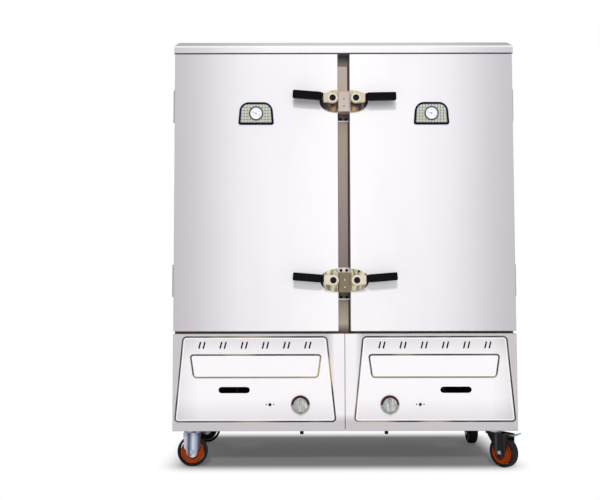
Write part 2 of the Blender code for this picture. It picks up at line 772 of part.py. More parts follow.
INNER_FOOT = (INNER_FOOT_NEAR, HALF_WIDTH - INNER_FOOT_FAR_INSET, BAY_TOP_Z - INNER_FOOT_DROP)
SHEET_THROUGH = (FRONT_Y - OVERRUN, FRONT_Y + PANEL_SHEET + OVERRUN)
VENT_PAIRS = 6
VENT_END_GAP = 0.078
VENT_DROP = 0.047
VENT_Z = BAY_TOP_Z - VENT_DROP
VENT_LENGTH = 0.031
VENT_WIDTH = 0.0065
VENT_SPACING = 0.018
VENT_HEADING = 76.0
VENT_STEPS = 3
SLOT_INSET = 0.2535
SLOT_DROP = 0.2305
SLOT_X = HALF_WIDTH - SLOT_INSET
SLOT_Z = BAY_TOP_Z - SLOT_DROP
SLOT_LENGTH = 0.130
SLOT_HEIGHT = 0.026
SLOT_STEPS = 5
KNOB_X = 0.184
KNOB_RISE = 0.107
KNOB_Z = BASE_Z + KNOB_RISE
SPINDLE_RADIUS = 0.004
SPINDLE_HOLE = 0.0065
BEZEL_RADIUS = 0.0385
BEZEL_BORE = 0.0310
BEZEL_HEIGHT = 0.005
BUTTON_X = 0.309
BUTTON_RISE = 0.108
BUTTON_Z = BASE_Z + BUTTON_RISE
BUTTON_RADIUS = 0.006
BUTTON_HOLE = 0.0064
MARK_SCREW_OFFSET = 0.015
MARK_SCREW_RADIUS = 0.002
MARK_SCREW_HEIGHT = 0.0015


def trapezoid(top, foot, radius):
    """A rounded outline from its top and its foot, each given as (near X, far X, Z)."""
    corners = [(top[0], top[2]), (top[1], top[2]), (foot[1], foot[2]), (foot[0], foot[2])]
    return rounded(corners, radius)


def pressed_pan():
    """The sheet pan with its two beads and the fire slot, drawn for the right."""
    inner, outer = PANEL_SPLIT / 2, BODY_WIDTH / 2
    back = FRAME_Y - SEAT_GAP
    pan = bevelled(box((inner, FRONT_Y, BASE_Z), (outer, back, BAY_TOP_Z)), PANEL_EDGE_RADIUS, 1)
    hollow_low = (inner + PANEL_SHEET, FRONT_Y + PANEL_SHEET, BASE_Z + PANEL_SHEET)
    hollow_high = (outer - PANEL_SHEET, back + OVERRUN, BAY_TOP_Z - PANEL_SHEET)
    cut(pan, box(hollow_low, hollow_high))
    lines = (
        trapezoid(OUTER_TOP, OUTER_FOOT, OUTER_CORNER),
        trapezoid(INNER_TOP, INNER_FOOT, INNER_CORNER),
    )
    for line in lines:
        bead = tube([(x, FRONT_Y - GROOVE_OFFSET, z) for x, z in line], GROOVE_RADIUS, closed=True)
        cut(pan, bead)
    slot = slot_outline((SLOT_X, SLOT_Z), SLOT_LENGTH, SLOT_HEIGHT, 0, SLOT_STEPS)
    return cut(pan, plate(slot, *SHEET_THROUGH))


def vent_cutter(x):
    """One leaning vent slot, as a body through the sheet."""
    slot = slot_outline((x, VENT_Z), VENT_LENGTH, VENT_WIDTH, VENT_HEADING, VENT_STEPS)
    return plate(slot, *SHEET_THROUGH)


def front_panel(name, side):
    """A pressed burner-bay panel with pairs of vent slots, the knob's bezel and two screw heads."""
    pan = mirrored(pressed_pan(), side)
    start, end = OUTER_TOP[0] + VENT_END_GAP, OUTER_TOP[1] - VENT_END_GAP
    pitch = (end - start) / (VENT_PAIRS - 1)
    centres = [side * (start + k * pitch) for k in range(VENT_PAIRS)]
    offsets = (-VENT_SPACING / 2, VENT_SPACING / 2)
    cut(pan, *[vent_cutter(x + offset) for x in centres for offset in offsets])
    knob_x, button_x = side * KNOB_X, side * BUTTON_X
    in_sheet = FRONT_Y + PANEL_SHEET / 2
    front = FRONT_Y - BEZEL_HEIGHT
    ring = rod_along_y(knob_x, KNOB_Z, front, in_sheet, BEZEL_RADIUS, DISC_SIDES)
    dish = (front - OVERRUN, FRONT_Y - SEAT_GAP)
    cut(ring, rod_along_y(knob_x, KNOB_Z, *dish, BEZEL_BORE, DISC_SIDES))
    fuse(pan, ring)
    head = FRONT_Y - MARK_SCREW_HEIGHT
    for step in (-MARK_SCREW_OFFSET, MARK_SCREW_OFFSET):
        fuse(pan, rod_along_y(button_x + step, BUTTON_Z, head, in_sheet, MARK_SCREW_RADIUS, BOLT_SIDES))
    spindle_ends = (front - OVERRUN, SHEET_THROUGH[1])
    cut(
        pan,
        rod_along_y(knob_x, KNOB_Z, *spindle_ends, SPINDLE_HOLE),
        rod_along_y(button_x, BUTTON_Z, *SHEET_THROUGH, BUTTON_HOLE),
    )
    return finish(f"{name}_front_panel", pan, "panel_steel")


# Gas knobs and ignition buttons
KNOB_RADIUS = 0.0285
KNOB_SKIRT_HEIGHT = 0.010
KNOB_DISH = 0.003
KNOB_GRIP_HALF_WIDTH = 0.007
KNOB_GRIP_HALF_LENGTH = 0.026
KNOB_REACH = 0.038
KNOB_FLOAT = 0.0015
KNOB_EDGE_RADIUS = 0.002
VALVE_SETBACK = 0.028
VALVE_FACE_Y = FRONT_Y + VALVE_SETBACK
BUTTON_PROUD = 0.004
BUTTON_LENGTH = 0.022
BUTTON_EDGE_RADIUS = 0.001


def gas_knob(name, side):
    """A chromed knob with an upright grip bar and the spindle that turns the valve."""
    x = side * KNOB_X
    seat = FRONT_Y - KNOB_FLOAT
    face = seat - KNOB_SKIRT_HEIGHT
    rim = KNOB_RADIUS - KNOB_DISH
    knob = rod_along_y(x, KNOB_Z, seat, face, KNOB_RADIUS, DISC_SIDES, rim)
    root = (seat + face) / 2
    low = (x - KNOB_GRIP_HALF_WIDTH, FRONT_Y - KNOB_REACH, KNOB_Z - KNOB_GRIP_HALF_LENGTH)
    high = (x + KNOB_GRIP_HALF_WIDTH, root, KNOB_Z + KNOB_GRIP_HALF_LENGTH)
    bar = bevelled(box(low, high), KNOB_EDGE_RADIUS, 1)
    spindle = rod_along_y(x, KNOB_Z, root, VALVE_FACE_Y - SEAT_GAP, SPINDLE_RADIUS)
    fuse(knob, bar, spindle)
    return finish(f"{name}_gas_knob", knob, "knob_chrome", (x, FRONT_Y, KNOB_Z))


def igniter_button(name, side):
    """The ignition push button in its hole in the panel."""
    x = side * BUTTON_X
    front = FRONT_Y - BUTTON_PROUD
    button = rod_along_y(x, BUTTON_Z, front, front + BUTTON_LENGTH, BUTTON_RADIUS)
    bevelled(button, BUTTON_EDGE_RADIUS, 1)
    return finish(f"{name}_igniter_button", button, "button_black", (x, FRONT_Y, BUTTON_Z))


# Gas rail, valves and burners
VALVE_RADIUS = 0.016
FEED_RADIUS = 0.006
RISER_RADIUS = 0.009
BURNER_SETBACK = 0.330
BURNER_RISE = 0.180
BURNER_RING_RADIUS = 0.115
BURNER_INNER_RING_RADIUS = 0.055
BURNER_TUBE_RADIUS = 0.014
BURNER_SEGMENTS = 16
BURNER_ARM_RADIUS = 0.009
CROSS_ARM_SHARE = 0.97
BURNER_LEG_RADIUS = 0.006
MIXER_RADIUS = 0.017
MIXER_BORE = 0.009
MIXER_LENGTH = 0.075
PIPE_BEND = 0.016
BURNER_Z = BASE_Z + BURNER_RISE
BURNER_Y = FRONT_Y + BURNER_SETBACK
MIXER_MOUTH_Y = BURNER_Y - BURNER_RING_RADIUS - MIXER_LENGTH


def bent(points, radius, steps=3):
    """A line of points with its corners rounded."""
    line = [Vector(points[0])]
    for before, here, after in zip(points, points[1:], points[2:]):
        here = Vector(here)
        start = here + (Vector(before) - here).normalized() * radius
        end = here + (Vector(after) - here).normalized() * radius
        for k in range(steps + 1):
            t = k / steps
            line.append(start.lerp(here, t).lerp(here.lerp(end, t), t))
    line.append(Vector(points[-1]))
    return line


def gas_manifold():
    """The gas pipe from the back inlet to both valves, and from each valve to its burner's nozzle."""
    tail = BACK_Y + PIPE_REACH
    rail = [
        (GAS_INLET_X, tail, GAS_RAIL_Z),
        (GAS_INLET_X, RAIL_Y, GAS_RAIL_Z),
        (-KNOB_X, RAIL_Y, GAS_RAIL_Z),
    ]
    manifold = tube(bent(rail, PIPE_BEND), GAS_PIPE_RADIUS)
    for side in SIDES.values():
        x = side * KNOB_X
        riser = tube([(x, RAIL_Y, GAS_RAIL_Z), (x, RAIL_Y, KNOB_Z)], RISER_RADIUS)
        valve = rod_along_y(x, KNOB_Z, VALVE_FACE_Y, RAIL_Y + VALVE_RADIUS, VALVE_RADIUS)
        burner_x = side * CHAMBER_X
        run = [
            (x, RAIL_Y, KNOB_Z),
            (x, RAIL_Y, BURNER_Z),
            (burner_x, RAIL_Y, BURNER_Z),
            (burner_x, MIXER_MOUTH_Y - SEAT_GAP, BURNER_Z),
        ]
        fuse(manifold, riser, valve, tube(bent(run, PIPE_BEND), FEED_RADIUS))
    return finish("gas_manifold", manifold, "brass")


def burner_ring(x, radius):
    """A ring of burner tube about the burner's centre."""
    circle = arc((x, BURNER_Y), radius, 0, 360, BURNER_SEGMENTS)[:-1]
    return tube([(u, v, BURNER_Z) for u, v in circle], BURNER_TUBE_RADIUS, closed=True)


def burner(name, side):
    """A two-ring cast burner on two legs, with its mixer tube."""
    x = side * CHAMBER_X
    span = BURNER_RING_RADIUS
    near = BURNER_Y - span
    head = fuse(burner_ring(x, BURNER_RING_RADIUS), burner_ring(x, BURNER_INNER_RING_RADIUS))
    fuse(head, rod_along_y(x, BURNER_Z, near, BURNER_Y + span, BURNER_ARM_RADIUS, BOLT_SIDES))
    cross = BURNER_ARM_RADIUS * CROSS_ARM_SHARE
    arm_ends = ((x - span, BURNER_Y, BURNER_Z), (x + span, BURNER_Y, BURNER_Z))
    fuse(head, rod(*arm_ends, cross, BOLT_SIDES))
    fuse(head, rod_along_y(x, BURNER_Z, MIXER_MOUTH_Y, near, MIXER_RADIUS))
    bore_ends = (MIXER_MOUTH_Y - OVERRUN, near - MIXER_LENGTH / 3)
    cut(head, rod_along_y(x, BURNER_Z, *bore_ends, MIXER_BORE, BOLT_SIDES))
    foot = BASE_Z + RAIL_SIZE + SEAT_GAP
    middle = (SHELL_Y + BACK_Y - WALL - SEAT_GAP) / 2
    pad = BURNER_LEG_RADIUS * 2
    for leg_x in (x - span, x + span):
        leg_ends = ((leg_x, BURNER_Y, BURNER_Z), (leg_x, BURNER_Y, foot + BURNER_LEG_RADIUS))
        fuse(head, rod(*leg_ends, BURNER_LEG_RADIUS, BOLT_SIDES))
        low = (leg_x - pad, min(BURNER_Y, middle) - pad, foot)
        high = (leg_x + pad, max(BURNER_Y, middle) + pad, foot + pad)
        fuse(head, box(low, high))
    return finish(f"{name}_burner", head, "cast_iron")


# Runner racks and trays
RUNNER_LEVELS = 12
FIRST_RUNNER_RISE = 0.070
LAST_RUNNER_DROP = 0.097
RUNNER_PITCH = (CEILING_Z - LAST_RUNNER_DROP - SILL_Z - FIRST_RUNNER_RISE) / (RUNNER_LEVELS - 1)
RUNNER_WIDTH = 0.025
RUNNER_THICKNESS = 0.003
RUNNER_WALL_GAP = 0.006
UPRIGHT_SIZE = 0.012
RACK_FRONT_SETBACK = 0.006
RACK_BACK_SETBACK = 0.012
RACK_TOP_GAP = 0.004
CROSS_ROD_SIZE = 0.008
CROSS_ROD_INSET = 0.030
TRAY_CLEARANCE = 0.015
TRAY_WIDTH = CHAMBER_WIDTH - 2 * TRAY_CLEARANCE
TRAY_LENGTH = 0.400
TRAY_DEPTH = 0.045
TRAY_WALL = 0.002
TRAY_SIDE_GAP = 0.006
TRAY_END_RIM = 0.010
TRAY_BACK_GAP = 0.004
TRAY_LEVEL = 5
RACK_FRONT_Y = SHELL_Y + RACK_FRONT_SETBACK
RACK_BACK_Y = BACK_Y - WALL - RACK_BACK_SETBACK
TRAY_RIM_Z = SILL_Z + FIRST_RUNNER_RISE + TRAY_LEVEL * RUNNER_PITCH + SEAT_GAP


def runner_rack(name, side):
    """Both ladders of tray runners in a chamber, tied by rods across the back."""
    half = CHAMBER_WIDTH / 2 - SEAT_GAP
    centre = side * CHAMBER_X
    foot, head = SILL_Z + SEAT_GAP, CEILING_Z - RACK_TOP_GAP
    inset = UPRIGHT_SIZE / 4
    posts, runners, rods = [], [], []
    for hand in (-1, 1):
        wall = centre + hand * half
        inner = wall - hand * UPRIGHT_SIZE
        for y in (RACK_FRONT_Y, RACK_BACK_Y - UPRIGHT_SIZE):
            posts.append(box((wall, y, foot), (inner, y + UPRIGHT_SIZE, head)))
        near = wall - hand * RUNNER_WALL_GAP
        far = near - hand * RUNNER_WIDTH
        for k in range(RUNNER_LEVELS):
            top = SILL_Z + FIRST_RUNNER_RISE + k * RUNNER_PITCH
            low = (near, RACK_FRONT_Y + inset, top - RUNNER_THICKNESS)
            runners.append(box(low, (far, RACK_BACK_Y - inset, top)))
    reach = half - UPRIGHT_SIZE / 2
    rod_back = RACK_BACK_Y - UPRIGHT_SIZE / 2 + CROSS_ROD_SIZE / 2
    for z in (foot + CROSS_ROD_INSET, head - CROSS_ROD_INSET):
        low = (centre - reach, rod_back - CROSS_ROD_SIZE, z)
        rods.append(box(low, (centre + reach, rod_back, z + CROSS_ROD_SIZE)))
    rack = joined(posts)
    boolean(rack, rods, "UNION")
    boolean(rack, runners, "UNION")
    return finish(f"{name}_runner_rack", rack, "casing_steel")


def tray(name, side):
    """A steaming tray that hangs by its rim on one pair of runners."""
    centre = side * CHAMBER_X
    back = RACK_BACK_Y - UPRIGHT_SIZE - TRAY_BACK_GAP
    front = back - TRAY_LENGTH
    body_half = CHAMBER_WIDTH / 2 - RUNNER_WALL_GAP - RUNNER_WIDTH - TRAY_SIDE_GAP
    top = TRAY_RIM_Z + TRAY_WALL
    half = TRAY_WIDTH / 2
    rim = box((centre - half, front, TRAY_RIM_Z), (centre + half, back, top))
    low = (centre - body_half, front + TRAY_END_RIM, top - TRAY_DEPTH)
    high = (centre + body_half, back - TRAY_END_RIM, top - TRAY_WALL / 4)
    inside_low = [value + TRAY_WALL for value in low]
    inside_high = (high[0] - TRAY_WALL, high[1] - TRAY_WALL, top + OVERRUN)
    cut(fuse(rim, box(low, high)), box(inside_low, inside_high))
    return finish(f"{name}_tray", rim, "door_steel")


# Doors
THERMOMETER_DROP = 0.2535
BADGE_HEIGHT = 0.095
BADGE_FOOT_WIDTH = 0.150
BADGE_TOP_WIDTH = 0.104
BADGE_CORNER = 0.014
BADGE_THICKNESS = 0.003
DIAL_RADIUS = 0.030
DIAL_REACH = 0.007
DIAL_RIM = 0.0065
DIAL_RECESS = 0.002
DOOR_WIDTH = BODY_WIDTH / 2 - DOOR_SIDE_INSET - DOOR_GAP / 2
THERMOMETER_X = DOOR_GAP / 2 + DOOR_WIDTH / 2
THERMOMETER_Z = DOOR_TOP_Z - THERMOMETER_DROP
GASKET_OVERLAP = 0.0138
DOOR_BACK_Y = FRONT_Y + DOOR_THICKNESS
DOORWAY = (PARTITION_WIDTH / 2, WALL_X)


def doorway(margin):
    """The doorway's near and far X and low and high Z, drawn in by a margin, on the right."""
    return DOORWAY[0] + margin, DOORWAY[1] - margin, SILL_Z + margin, CEILING_Z - margin


def door_panel(side):
    """An insulated door with rounded edges and the raised pan that enters the doorway."""
    near = DOOR_GAP / 2
    slab = box((near, FRONT_Y, DOOR_FOOT_Z), (near + DOOR_WIDTH, DOOR_BACK_Y, DOOR_TOP_Z))
    bevelled(slab, DOOR_EDGE_RADIUS)
    low_x, high_x, low_z, high_z = doorway(PLUG_MARGIN)
    plug_start, plug_end = DOOR_BACK_Y - OVERRUN * 2, DOOR_BACK_Y + PLUG_DEPTH
    plug = box((low_x, plug_start, low_z), (high_x, plug_end, high_z))
    fuse(slab, bevelled(plug, PLUG_EDGE_RADIUS, 1))
    return mirrored(slab, side)


def door_gasket(side):
    """The silicone seal that the door presses on the face frame."""
    start, end = DOOR_BACK_Y + SEAT_GAP, FRAME_Y - SEAT_GAP
    low_x, high_x, low_z, high_z = doorway(-GASKET_OVERLAP)
    seal = box((low_x, start, low_z), (high_x, end, high_z))
    low_x, high_x, low_z, high_z = doorway(GASKET_WIDTH - GASKET_OVERLAP)
    cut(seal, box((low_x, start - OVERRUN, low_z), (high_x, end + OVERRUN, high_z)))
    return mirrored(seal, side)


def thermometer(side):
    """The dial thermometer on its plate."""
    face = FRONT_Y - SEAT_GAP
    low, high = THERMOMETER_Z - BADGE_HEIGHT / 2, THERMOMETER_Z + BADGE_HEIGHT / 2
    centre = side * THERMOMETER_X
    corners = [
        (centre - BADGE_TOP_WIDTH / 2, high),
        (centre + BADGE_TOP_WIDTH / 2, high),
        (centre + BADGE_FOOT_WIDTH / 2, low),
        (centre - BADGE_FOOT_WIDTH / 2, low),
    ]
    badge = plate(rounded(corners, BADGE_CORNER), face - BADGE_THICKNESS, face)
    rim_y = face - DIAL_REACH
    root = face - BADGE_THICKNESS / 2
    fuse(badge, rod_along_y(centre, THERMOMETER_Z, root, rim_y, DIAL_RADIUS, DISC_SIDES))
    recess = (rim_y - OVERRUN, rim_y + DIAL_RECESS)
    dial = DIAL_RADIUS - DIAL_RIM
    return cut(badge, rod_along_y(centre, THERMOMETER_Z, *recess, dial, DISC_SIDES))


# Hinges
HINGE_DROP = 0.216
HINGE_RISE = 0.2095
HINGE_HEIGHT = 0.134
KNUCKLE_RADIUS = 0.006
HINGE_PIN_RADIUS = 0.003
HINGE_PIN_GAP = 0.0005
LEAF_THICKNESS = 0.004
CABINET_LEAF_LENGTH = 0.050
DOOR_LEAF_LENGTH = 0.036
LEAF_RELIEF = 0.007
HINGE_BOLT_RADIUS = 0.0045
HINGE_BOLT_HEIGHT = 0.003
CABINET_BOLT_RISE = 0.050
DOOR_BOLT_RISE = 0.020
HINGE_X = BODY_WIDTH / 2 + KNUCKLE_RADIUS
HINGE_LEVELS = {"upper": DOOR_TOP_Z - HINGE_DROP, "lower": DOOR_FOOT_Z + HINGE_RISE}
THIRD = HINGE_HEIGHT / 3


def hinge_rod(start, end, radius):
    """A rod on the hinge's axis, on the right."""
    return rod((HINGE_X, DOOR_BACK_Y, start), (HINGE_X, DOOR_BACK_Y, end), radius)


def hinge_bolts(leaf, outer, y, heights):
    """Bolt heads on a leaf's outer face."""
    ends = (outer - LEAF_THICKNESS / 2, outer + HINGE_BOLT_HEIGHT)
    for z in heights:
        fuse(leaf, rod((ends[0], y, z), (ends[1], y, z), HINGE_BOLT_RADIUS, BOLT_SIDES))


def cabinet_leaf(level, side):
    """The leaf on the side wall, with two knuckles and the pin."""
    z = HINGE_LEVELS[level]
    low, high = z - HINGE_HEIGHT / 2, z + HINGE_HEIGHT / 2
    inner = BODY_WIDTH / 2 + SEAT_GAP
    outer = inner + LEAF_THICKNESS
    front, back = DOOR_BACK_Y + LEAF_RELIEF, DOOR_BACK_Y + CABINET_LEAF_LENGTH
    leaf = box((inner, front, low), (outer, back, high))
    for start, end in ((low, low + THIRD - SEAT_GAP), (high - THIRD + SEAT_GAP, high)):
        fuse(leaf, box((inner, DOOR_BACK_Y, start), (outer, front + LEAF_RELIEF, end)))
        fuse(leaf, hinge_rod(start, end, KNUCKLE_RADIUS))
    fuse(leaf, hinge_rod(low + THIRD / 2, high - THIRD / 2, HINGE_PIN_RADIUS))
    hinge_bolts(leaf, outer, (front + back) / 2, (z - CABINET_BOLT_RISE, z + CABINET_BOLT_RISE))
    name = f"{SIDE_NAMES[side]}_{level}_hinge_cabinet_leaf"
    return finish(name, mirrored(leaf, side), "casing_steel")


def door_leaf(level, side):
    """The leaf on the door's edge, whose knuckle turns on the pin."""
    z = HINGE_LEVELS[level]
    low, high = z - HINGE_HEIGHT / 2, z + HINGE_HEIGHT / 2
    inner = BODY_WIDTH / 2 - DOOR_SIDE_INSET + SEAT_GAP
    outer = inner + LEAF_THICKNESS
    front, back = DOOR_BACK_Y - DOOR_LEAF_LENGTH, DOOR_BACK_Y - LEAF_RELIEF
    start, end = low + THIRD + SEAT_GAP, high - THIRD - SEAT_GAP
    leaf = box((inner, front, low), (outer, back, high))
    fuse(leaf, box((inner, back - LEAF_RELIEF, start), (outer, DOOR_BACK_Y, end)))
    fuse(leaf, hinge_rod(start, end, KNUCKLE_RADIUS))
    cut(leaf, hinge_rod(start - OVERRUN, end + OVERRUN, HINGE_PIN_RADIUS + HINGE_PIN_GAP))
    hinge_bolts(leaf, outer, (front + back) / 2, (z - DOOR_BOLT_RISE, z + DOOR_BOLT_RISE))
    return mirrored(leaf, side)


# Latches and keepers
LATCH_X = 0.0485
LATCH_DROP = 0.1983
LATCH_RISE = 0.2100
HOUSING_WIDTH = 0.073
HOUSING_HALF_HEIGHT = 0.049
HOUSING_DEPTH = 0.028
HOUSING_FACE_SHARE = 0.66
HOUSING_EDGE_INSET = 0.003
PIVOT_RADIUS = 0.007
PIVOT_GAP = 0.0005
PIVOT_HEAD_RADIUS = 0.010
PIVOT_HEAD_HEIGHT = 0.003
BOSS_RADIUS = 0.0195
LEVER_THICKNESS = 0.018
LEVER_REACH = 0.043
LEVER_HALF_HEIGHT = 0.0225
LEVER_SHOULDER_SHARE = 0.72
LEVER_TIP_SHARE = 0.68
LEVER_ROOT_SHARE = 0.66
LEVER_EDGE_RADIUS = 0.0015
TANG_START = 0.030
TANG_END = 0.140
TANG_HEIGHT = 0.012
TANG_THICKNESS = 0.006
GRIP_START = 0.046
GRIP_END = 0.166
GRIP_HEIGHT = 0.033
GRIP_THICKNESS = 0.025
GRIP_EDGE_RADIUS = 0.005
GRIP_RISE = 0.003
GRIP_TILT = 4.6
SLACK_GRIP_TILT = 1.0
KEEPER_WIDTH = 0.050
KEEPER_DROP = 0.0135
KEEPER_PLATE_HEIGHT = 0.136
KEEPER_PLATE_THICKNESS = 0.003
KEEPER_BLOCK_HEIGHT = 0.074
KEEPER_BLOCK_REACH = 0.018
KEEPER_EDGE_RADIUS = 0.003
KEEPER_BOLT_RISE = 0.053
KEEPER_BOLT_X = 0.012
KEEPER_BOLT_RADIUS = 0.0045
KEEPER_BOLT_HEIGHT = 0.003
RIVET_RADIUS = 0.003
RIVET_HEIGHT = 0.001
RIVET_RISE = 0.015
LATCH_LEVELS = {"upper": DOOR_TOP_Z - LATCH_DROP, "lower": DOOR_FOOT_Z + LATCH_RISE}
LEVER_BACK = -HOUSING_DEPTH - SEAT_GAP * 2
LEVER_FRONT = LEVER_BACK - LEVER_THICKNESS

def latch_place(level, side):
    """A latch's pivot on the door's face."""
    return Vector((side * LATCH_X, FRONT_Y, LATCH_LEVELS[level]))


def latch_housing(level, side):
    """The half-oval housing on the door, with its sloped skirt and the lever's pivot bolt."""
    flat_x = DOOR_GAP / 2 + HOUSING_EDGE_INSET - LATCH_X
    dome = rod_along_y(0, 0, -SEAT_GAP, -HOUSING_DEPTH, 1, DISC_SIDES, HOUSING_FACE_SHARE)
    moved(dome, Matrix.Diagonal((HOUSING_WIDTH, 1, HOUSING_HALF_HEIGHT, 1)))
    reach = HOUSING_WIDTH + HOUSING_HALF_HEIGHT
    cut(dome, box((-reach, -HOUSING_DEPTH - OVERRUN, -reach), (0, OVERRUN, reach)))
    moved(dome, Matrix.Translation((flat_x, 0, 0)))
    head = LEVER_FRONT - SEAT_GAP * 2
    cap = head - PIVOT_HEAD_HEIGHT
    fuse(dome, rod_along_y(0, 0, OVERRUN - HOUSING_DEPTH, (head + cap) / 2, PIVOT_RADIUS))
    fuse(dome, rod_along_y(0, 0, head, cap, PIVOT_HEAD_RADIUS))
    return moved(mirrored(dome, side), Matrix.Translation(latch_place(level, side)))


def grip_tilt(level, side):
    """How far a grip tips up. The upper right latch is worn and sits a little lower."""
    return SLACK_GRIP_TILT if (level, SIDE_NAMES[side]) == ("upper", "right") else GRIP_TILT


def tilted(obj, tilt):
    """Tips a piece drawn along +X up by so many degrees, about the pivot."""
    turn = Matrix.Rotation(math.radians(-tilt), 4, "Y")
    return moved(obj, Matrix.Translation((0, 0, GRIP_RISE)) @ turn)


def tang(clearance, tilt):
    """The lever's flat tang, or its pocket in the grip when given a clearance."""
    middle = -FRONT_REACH + GRIP_THICKNESS / 2
    thickness, height = TANG_THICKNESS / 2 + clearance, TANG_HEIGHT / 2 + clearance
    low = (TANG_START, middle - thickness, -height)
    return tilted(box(low, (TANG_END + clearance, middle + thickness, height)), tilt)


def latch_lever(level, side):
    """The cast lever: a ring boss, a faceted plate and the tang that carries the grip."""
    shoulder = LEVER_REACH * LEVER_SHOULDER_SHARE
    tip = LEVER_HALF_HEIGHT * LEVER_TIP_SHARE
    outline = [
        (0, LEVER_HALF_HEIGHT),
        (shoulder, LEVER_HALF_HEIGHT),
        (LEVER_REACH, tip),
        (LEVER_REACH, -tip),
        (shoulder, -LEVER_HALF_HEIGHT),
        (0, -LEVER_HALF_HEIGHT * LEVER_ROOT_SHARE),
    ]
    lever = bevelled(plate(outline, LEVER_FRONT, LEVER_BACK), LEVER_EDGE_RADIUS, 1)
    boss = rod_along_y(0, 0, LEVER_BACK, LEVER_FRONT - SEAT_GAP, BOSS_RADIUS, DISC_SIDES)
    fuse(lever, boss, tang(0, grip_tilt(level, side)))
    bore_ends = (LEVER_BACK + OVERRUN, LEVER_FRONT - OVERRUN)
    cut(lever, rod_along_y(0, 0, *bore_ends, PIVOT_RADIUS + PIVOT_GAP))
    place = latch_place(level, side)
    moved(mirrored(lever, side), Matrix.Translation(place))
    return finish(f"{SIDE_NAMES[side]}_{level}_latch_lever", lever, "gilt_zinc", place)


def latch_grip(level, side):
    """The black sleeve over the lever's tang."""
    half = GRIP_HEIGHT / 2
    back = -FRONT_REACH + GRIP_THICKNESS
    grip = box((GRIP_START, -FRONT_REACH, -half), (GRIP_END, back, half))
    tilt = grip_tilt(level, side)
    tilted(bevelled(grip, GRIP_EDGE_RADIUS), tilt)
    cut(grip, tang(SEAT_GAP, tilt))
    place = latch_place(level, side)
    moved(mirrored(grip, side), Matrix.Translation(place))
    return finish(f"{SIDE_NAMES[side]}_{level}_latch_grip", grip, "grip_black", place)


def latch_keeper(level):
    """The keeper on the mullion: a bolted plate and the raised block between the doors."""
    z = LATCH_LEVELS[level] - KEEPER_DROP
    face = FRAME_Y - SEAT_GAP
    half = KEEPER_WIDTH / 2
    front = face - KEEPER_PLATE_THICKNESS
    keeper = box((-half, front, z - KEEPER_PLATE_HEIGHT / 2), (half, face, z + KEEPER_PLATE_HEIGHT / 2))
    block_front = FRONT_Y - KEEPER_BLOCK_REACH
    block = box((-half, block_front, z - KEEPER_BLOCK_HEIGHT / 2),
                (half, face - KEEPER_PLATE_THICKNESS / 2, z + KEEPER_BLOCK_HEIGHT / 2))
    fuse(keeper, bevelled(block, KEEPER_EDGE_RADIUS, 1))
    bolt_ends = (front - KEEPER_BOLT_HEIGHT, front + KEEPER_PLATE_THICKNESS / 2)
    rivet_ends = (block_front - RIVET_HEIGHT, block_front + RIVET_HEIGHT)
    studs = []
    for sign in (-1, 1):
        rivet_z = z + sign * RIVET_RISE
        studs.append(rod_along_y(0, rivet_z, *rivet_ends, RIVET_RADIUS, HEX_SIDES))
        for bolt_x in (-KEEPER_BOLT_X, KEEPER_BOLT_X):
            bolt_z = z + sign * KEEPER_BOLT_RISE
            studs.append(rod_along_y(bolt_x, bolt_z, *bolt_ends, KEEPER_BOLT_RADIUS, BOLT_SIDES))
    boolean(keeper, studs, "UNION")
    return finish(f"{level}_latch_keeper", keeper, "gilt_zinc")


def door_assembly(name, side):
    """A door with all that rides on it, hung on an empty at its hinge axis."""
    axis = (side * HINGE_X, DOOR_BACK_Y, DOOR_FOOT_Z)
    riders = [
        finish(f"{name}_door_panel", door_panel(side), "door_steel", axis),
        finish(f"{name}_door_gasket", door_gasket(side), "seal_rubber", axis),
        finish(f"{name}_thermometer", thermometer(side), "badge_navy", axis),
    ]
    levers = []
    for level in HINGE_LEVELS:
        leaf = door_leaf(level, side)
        riders.append(finish(f"{name}_{level}_hinge_door_leaf", leaf, "casing_steel", axis))
    for level in LATCH_LEVELS:
        housing = latch_housing(level, side)
        riders.append(finish(f"{name}_{level}_latch_housing", housing, "gilt_zinc", axis))
        pieces = [latch_lever(level, side), latch_grip(level, side)]
        levers.append(mount_on(f"{name}_{level}_latch_axis", latch_place(level, side), pieces))
    mount_on(f"{name}_door_axis", axis, riders + levers)


def swivel_assembly(place):
    """A swivel caster on an empty at its kingpin, with its wheel and pedal on their own."""
    frame = caster_frame(place)
    hub = frame @ Vector((SWIVEL_TRAIL, 0, WHEEL_RADIUS))
    riders = [swivel_fork(place), mount_on(f"{place}_wheel_axis", hub, [wheel(place)])]
    if place == "front_right":
        pivot = frame @ Vector((PEDAL_PIVOT_TRAIL, 0, PEDAL_PIVOT_Z))
        riders.append(mount_on(f"{place}_pedal_axis", pivot, [brake_pedal(place)]))
    mount_on(f"{place}_swivel_axis", CASTER_PLACES[place][:2] + (CROWN_TOP_Z,), riders)


def build():
    """Makes the whole cabinet."""
    clear_scene()
    top_cover()
    back_panel()
    centre_partition()
    front_frame()
    base_frame()
    gas_manifold()
    for name, side in SIDES.items():
        side_panel(name, side)
        water_tank(name, side)
        front_panel(name, side)
        burner(name, side)
        runner_rack(name, side)
        tray(name, side)
        knob_place = (side * KNOB_X, FRONT_Y, KNOB_Z)
        button_place = (side * BUTTON_X, FRONT_Y, BUTTON_Z)
        mount_on(f"{name}_knob_axis", knob_place, [gas_knob(name, side)])
        mount_on(f"{name}_button_axis", button_place, [igniter_button(name, side)])
        for level in HINGE_LEVELS:
            cabinet_leaf(level, side)
        door_assembly(name, side)
    for level in LATCH_LEVELS:
        latch_keeper(level)
    for place, (x, y, heading) in CASTER_PLACES.items():
        if heading is None:
            rigid_fork(place)
            mount_on(f"{place}_wheel_axis", (x, y, WHEEL_RADIUS), [wheel(place)])
        else:
            swivel_assembly(place)


build()
